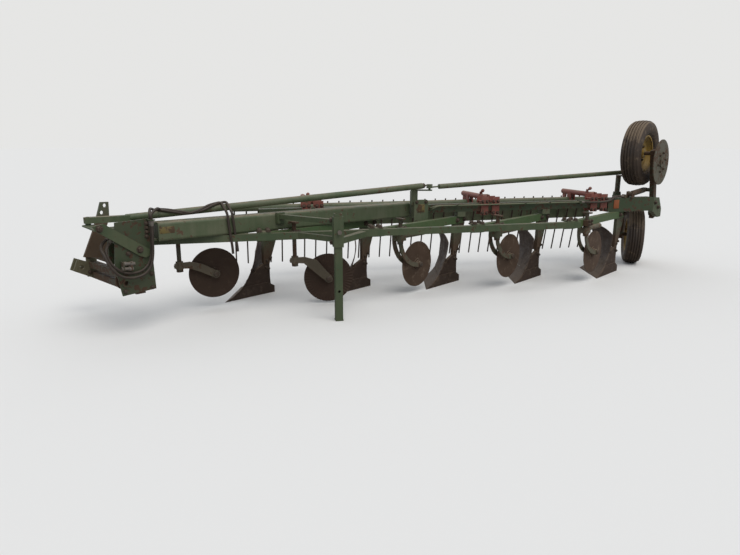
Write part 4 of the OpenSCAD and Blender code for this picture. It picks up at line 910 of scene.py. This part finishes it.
rippled_disc("coulter_disc_2", "coulter_disc_2", hubs[1], across_trail(CASTORS[1])[0], DISC_RADIUS,
             waves=48)

# Wheels


def ribbed_tyre(node, body, hub, way, radius, width, bead, rim_width):
    """A narrow implement tyre: five ribs round its tread, round shoulders and a bead on each side."""
    half, ribs = width / 2, 5
    tread = half - 0.034
    step = 2 * tread / (ribs - 0.35)
    outer = []
    for n in range(ribs):
        x = -tread + n * step
        crown = 0.007 * (1 - ((2 * n - ribs + 1) / (ribs - 1)) ** 2)
        top = radius - 0.007 + crown
        end = x + 0.65 * step
        outer += [(x, top - 0.011), (x + 0.003, top - 0.0008), (x + 0.006, top),
                  (end - 0.006, top), (end - 0.003, top - 0.0008), (end, top - 0.011)]
    seat = rim_width / 2
    side = [(half - 0.014, radius - 0.024), (half - 0.005, radius - 0.045), (half - 0.0005, radius - 0.08),
            (half - 0.002, (radius + bead) / 2 - 0.01), (half - 0.012, bead + 0.04),
            (half - 0.02, bead + 0.026), (seat - 0.004, bead + 0.016), (seat - 0.006, bead + 0.0125),
            (seat - 0.012, bead)]
    across = [(-x, r) for x, r in reversed(side)] + outer + side
    shape = turned(node + "_ribbed", [(r, x) for x, r in across], 96, closed=True, angle=45)
    placed(shape, facing(hub, way))
    settle(shape, body, tyre_rubber)
    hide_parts(node)


TAIL_TURN = math.radians(26)
TAIL_RADIUS, LIFT_RADIUS = 0.36, 0.38
COLUMN = along(REAR_BACK, 4.365, -0.52, 0)
TAIL_WAY = Vector((math.cos(TAIL_TURN), math.sin(TAIL_TURN), 0))
TAIL_HUB = COLUMN + TAIL_WAY * 0.23 + UP * TAIL_RADIUS
LIFT_HUB = at(2.16, 4.43, 1.37)
GAUGE_FACE = at(2.4103, 4.43, 1.27)
ribbed_tyre("tail_tyre", "tail_wheel", TAIL_HUB, TAIL_WAY, TAIL_RADIUS, width=0.2, bead=0.1903,
            rim_width=0.15)
ribbed_tyre("lift_tyre", "lift_wheel", LIFT_HUB, LANDSIDE, LIFT_RADIUS, width=0.22, bead=0.2003,
            rim_width=0.15)

wheel_cap = turned("wheel_cap", [(0.0245, 0.0003), (0.042, 0.0003), (0.042, 0.008), (0.035, 0.014),
                                 (0.033, 0.022), (0.02, 0.028), (0.004, 0.029), (0.004, 0.024),
                                 (0.0245, 0.02)], 32)
lug_nut = turned("lug_nut", [(0.006, 0), (0.0145, 0), (0.0145, 0.013), (0.0125, 0.0155), (0.008, 0.016),
                             (0.008, 0.0208), (0.002, 0.0213)], 6, closed=False, angle=20)
LUG_CIRCLE, GAUGE_CIRCLE = 0.088, 0.11
for name, hub, way, cap_side, valve_reach in (("tail", TAIL_HUB, TAIL_WAY, 1, 0.145),
                                              ("lift", LIFT_HUB, Vector(LANDSIDE), -1, 0.155)):
    body = name + "_wheel"
    round_way = way.cross(UP).normalized()
    bolts(name + "_lug_nuts", lug_nut, ring(hub + way * 0.0085, way, round_way, LUG_CIRCLE, 6), body)
    out = way * cap_side
    copies(name + "_hub_cap", wheel_cap, [(hub + out * 0.05, out)], body, yellow_paint)
    valve = turned(name + "_valve", [(0.004, 0), (0.0055, 0.004), (0.0045, 0.03), (0.0055, 0.031),
                                     (0.0055, 0.043), (0.003, 0.045)], 12, closed=False)
    placed(valve, facing(hub + way * 0.022 + round_way * valve_reach, way + round_way * 0.3))
    joined(name + "_valve", [valve], body, hose_rubber)
bolts("gauge_disc_nuts", lug_nut, ring(GAUGE_FACE, LANDSIDE, Vector((0, 1, 0)), GAUGE_CIRCLE, 6, 15),
      "gauge_wheel")
drop(wheel_cap, lug_nut)

# Stand and lift

stand_spots = [(at(1.193, 0.364, z) - LINE_OUT * 0.064 - LINE_BACK * 0.0325, -LINE_BACK)
               for z in (0.67, 0.86)]
bolts("outrigger_bolts", large_bolt, stand_spots)
bolts("lift_bracket_bolts", large_bolt, on_side(2.3963, ((4.52, 0.74), (4.41, 0.8))))
drop(small_bolt, large_bolt, disc_bolt, plough_bolt, ferrule, slim_ferrule)
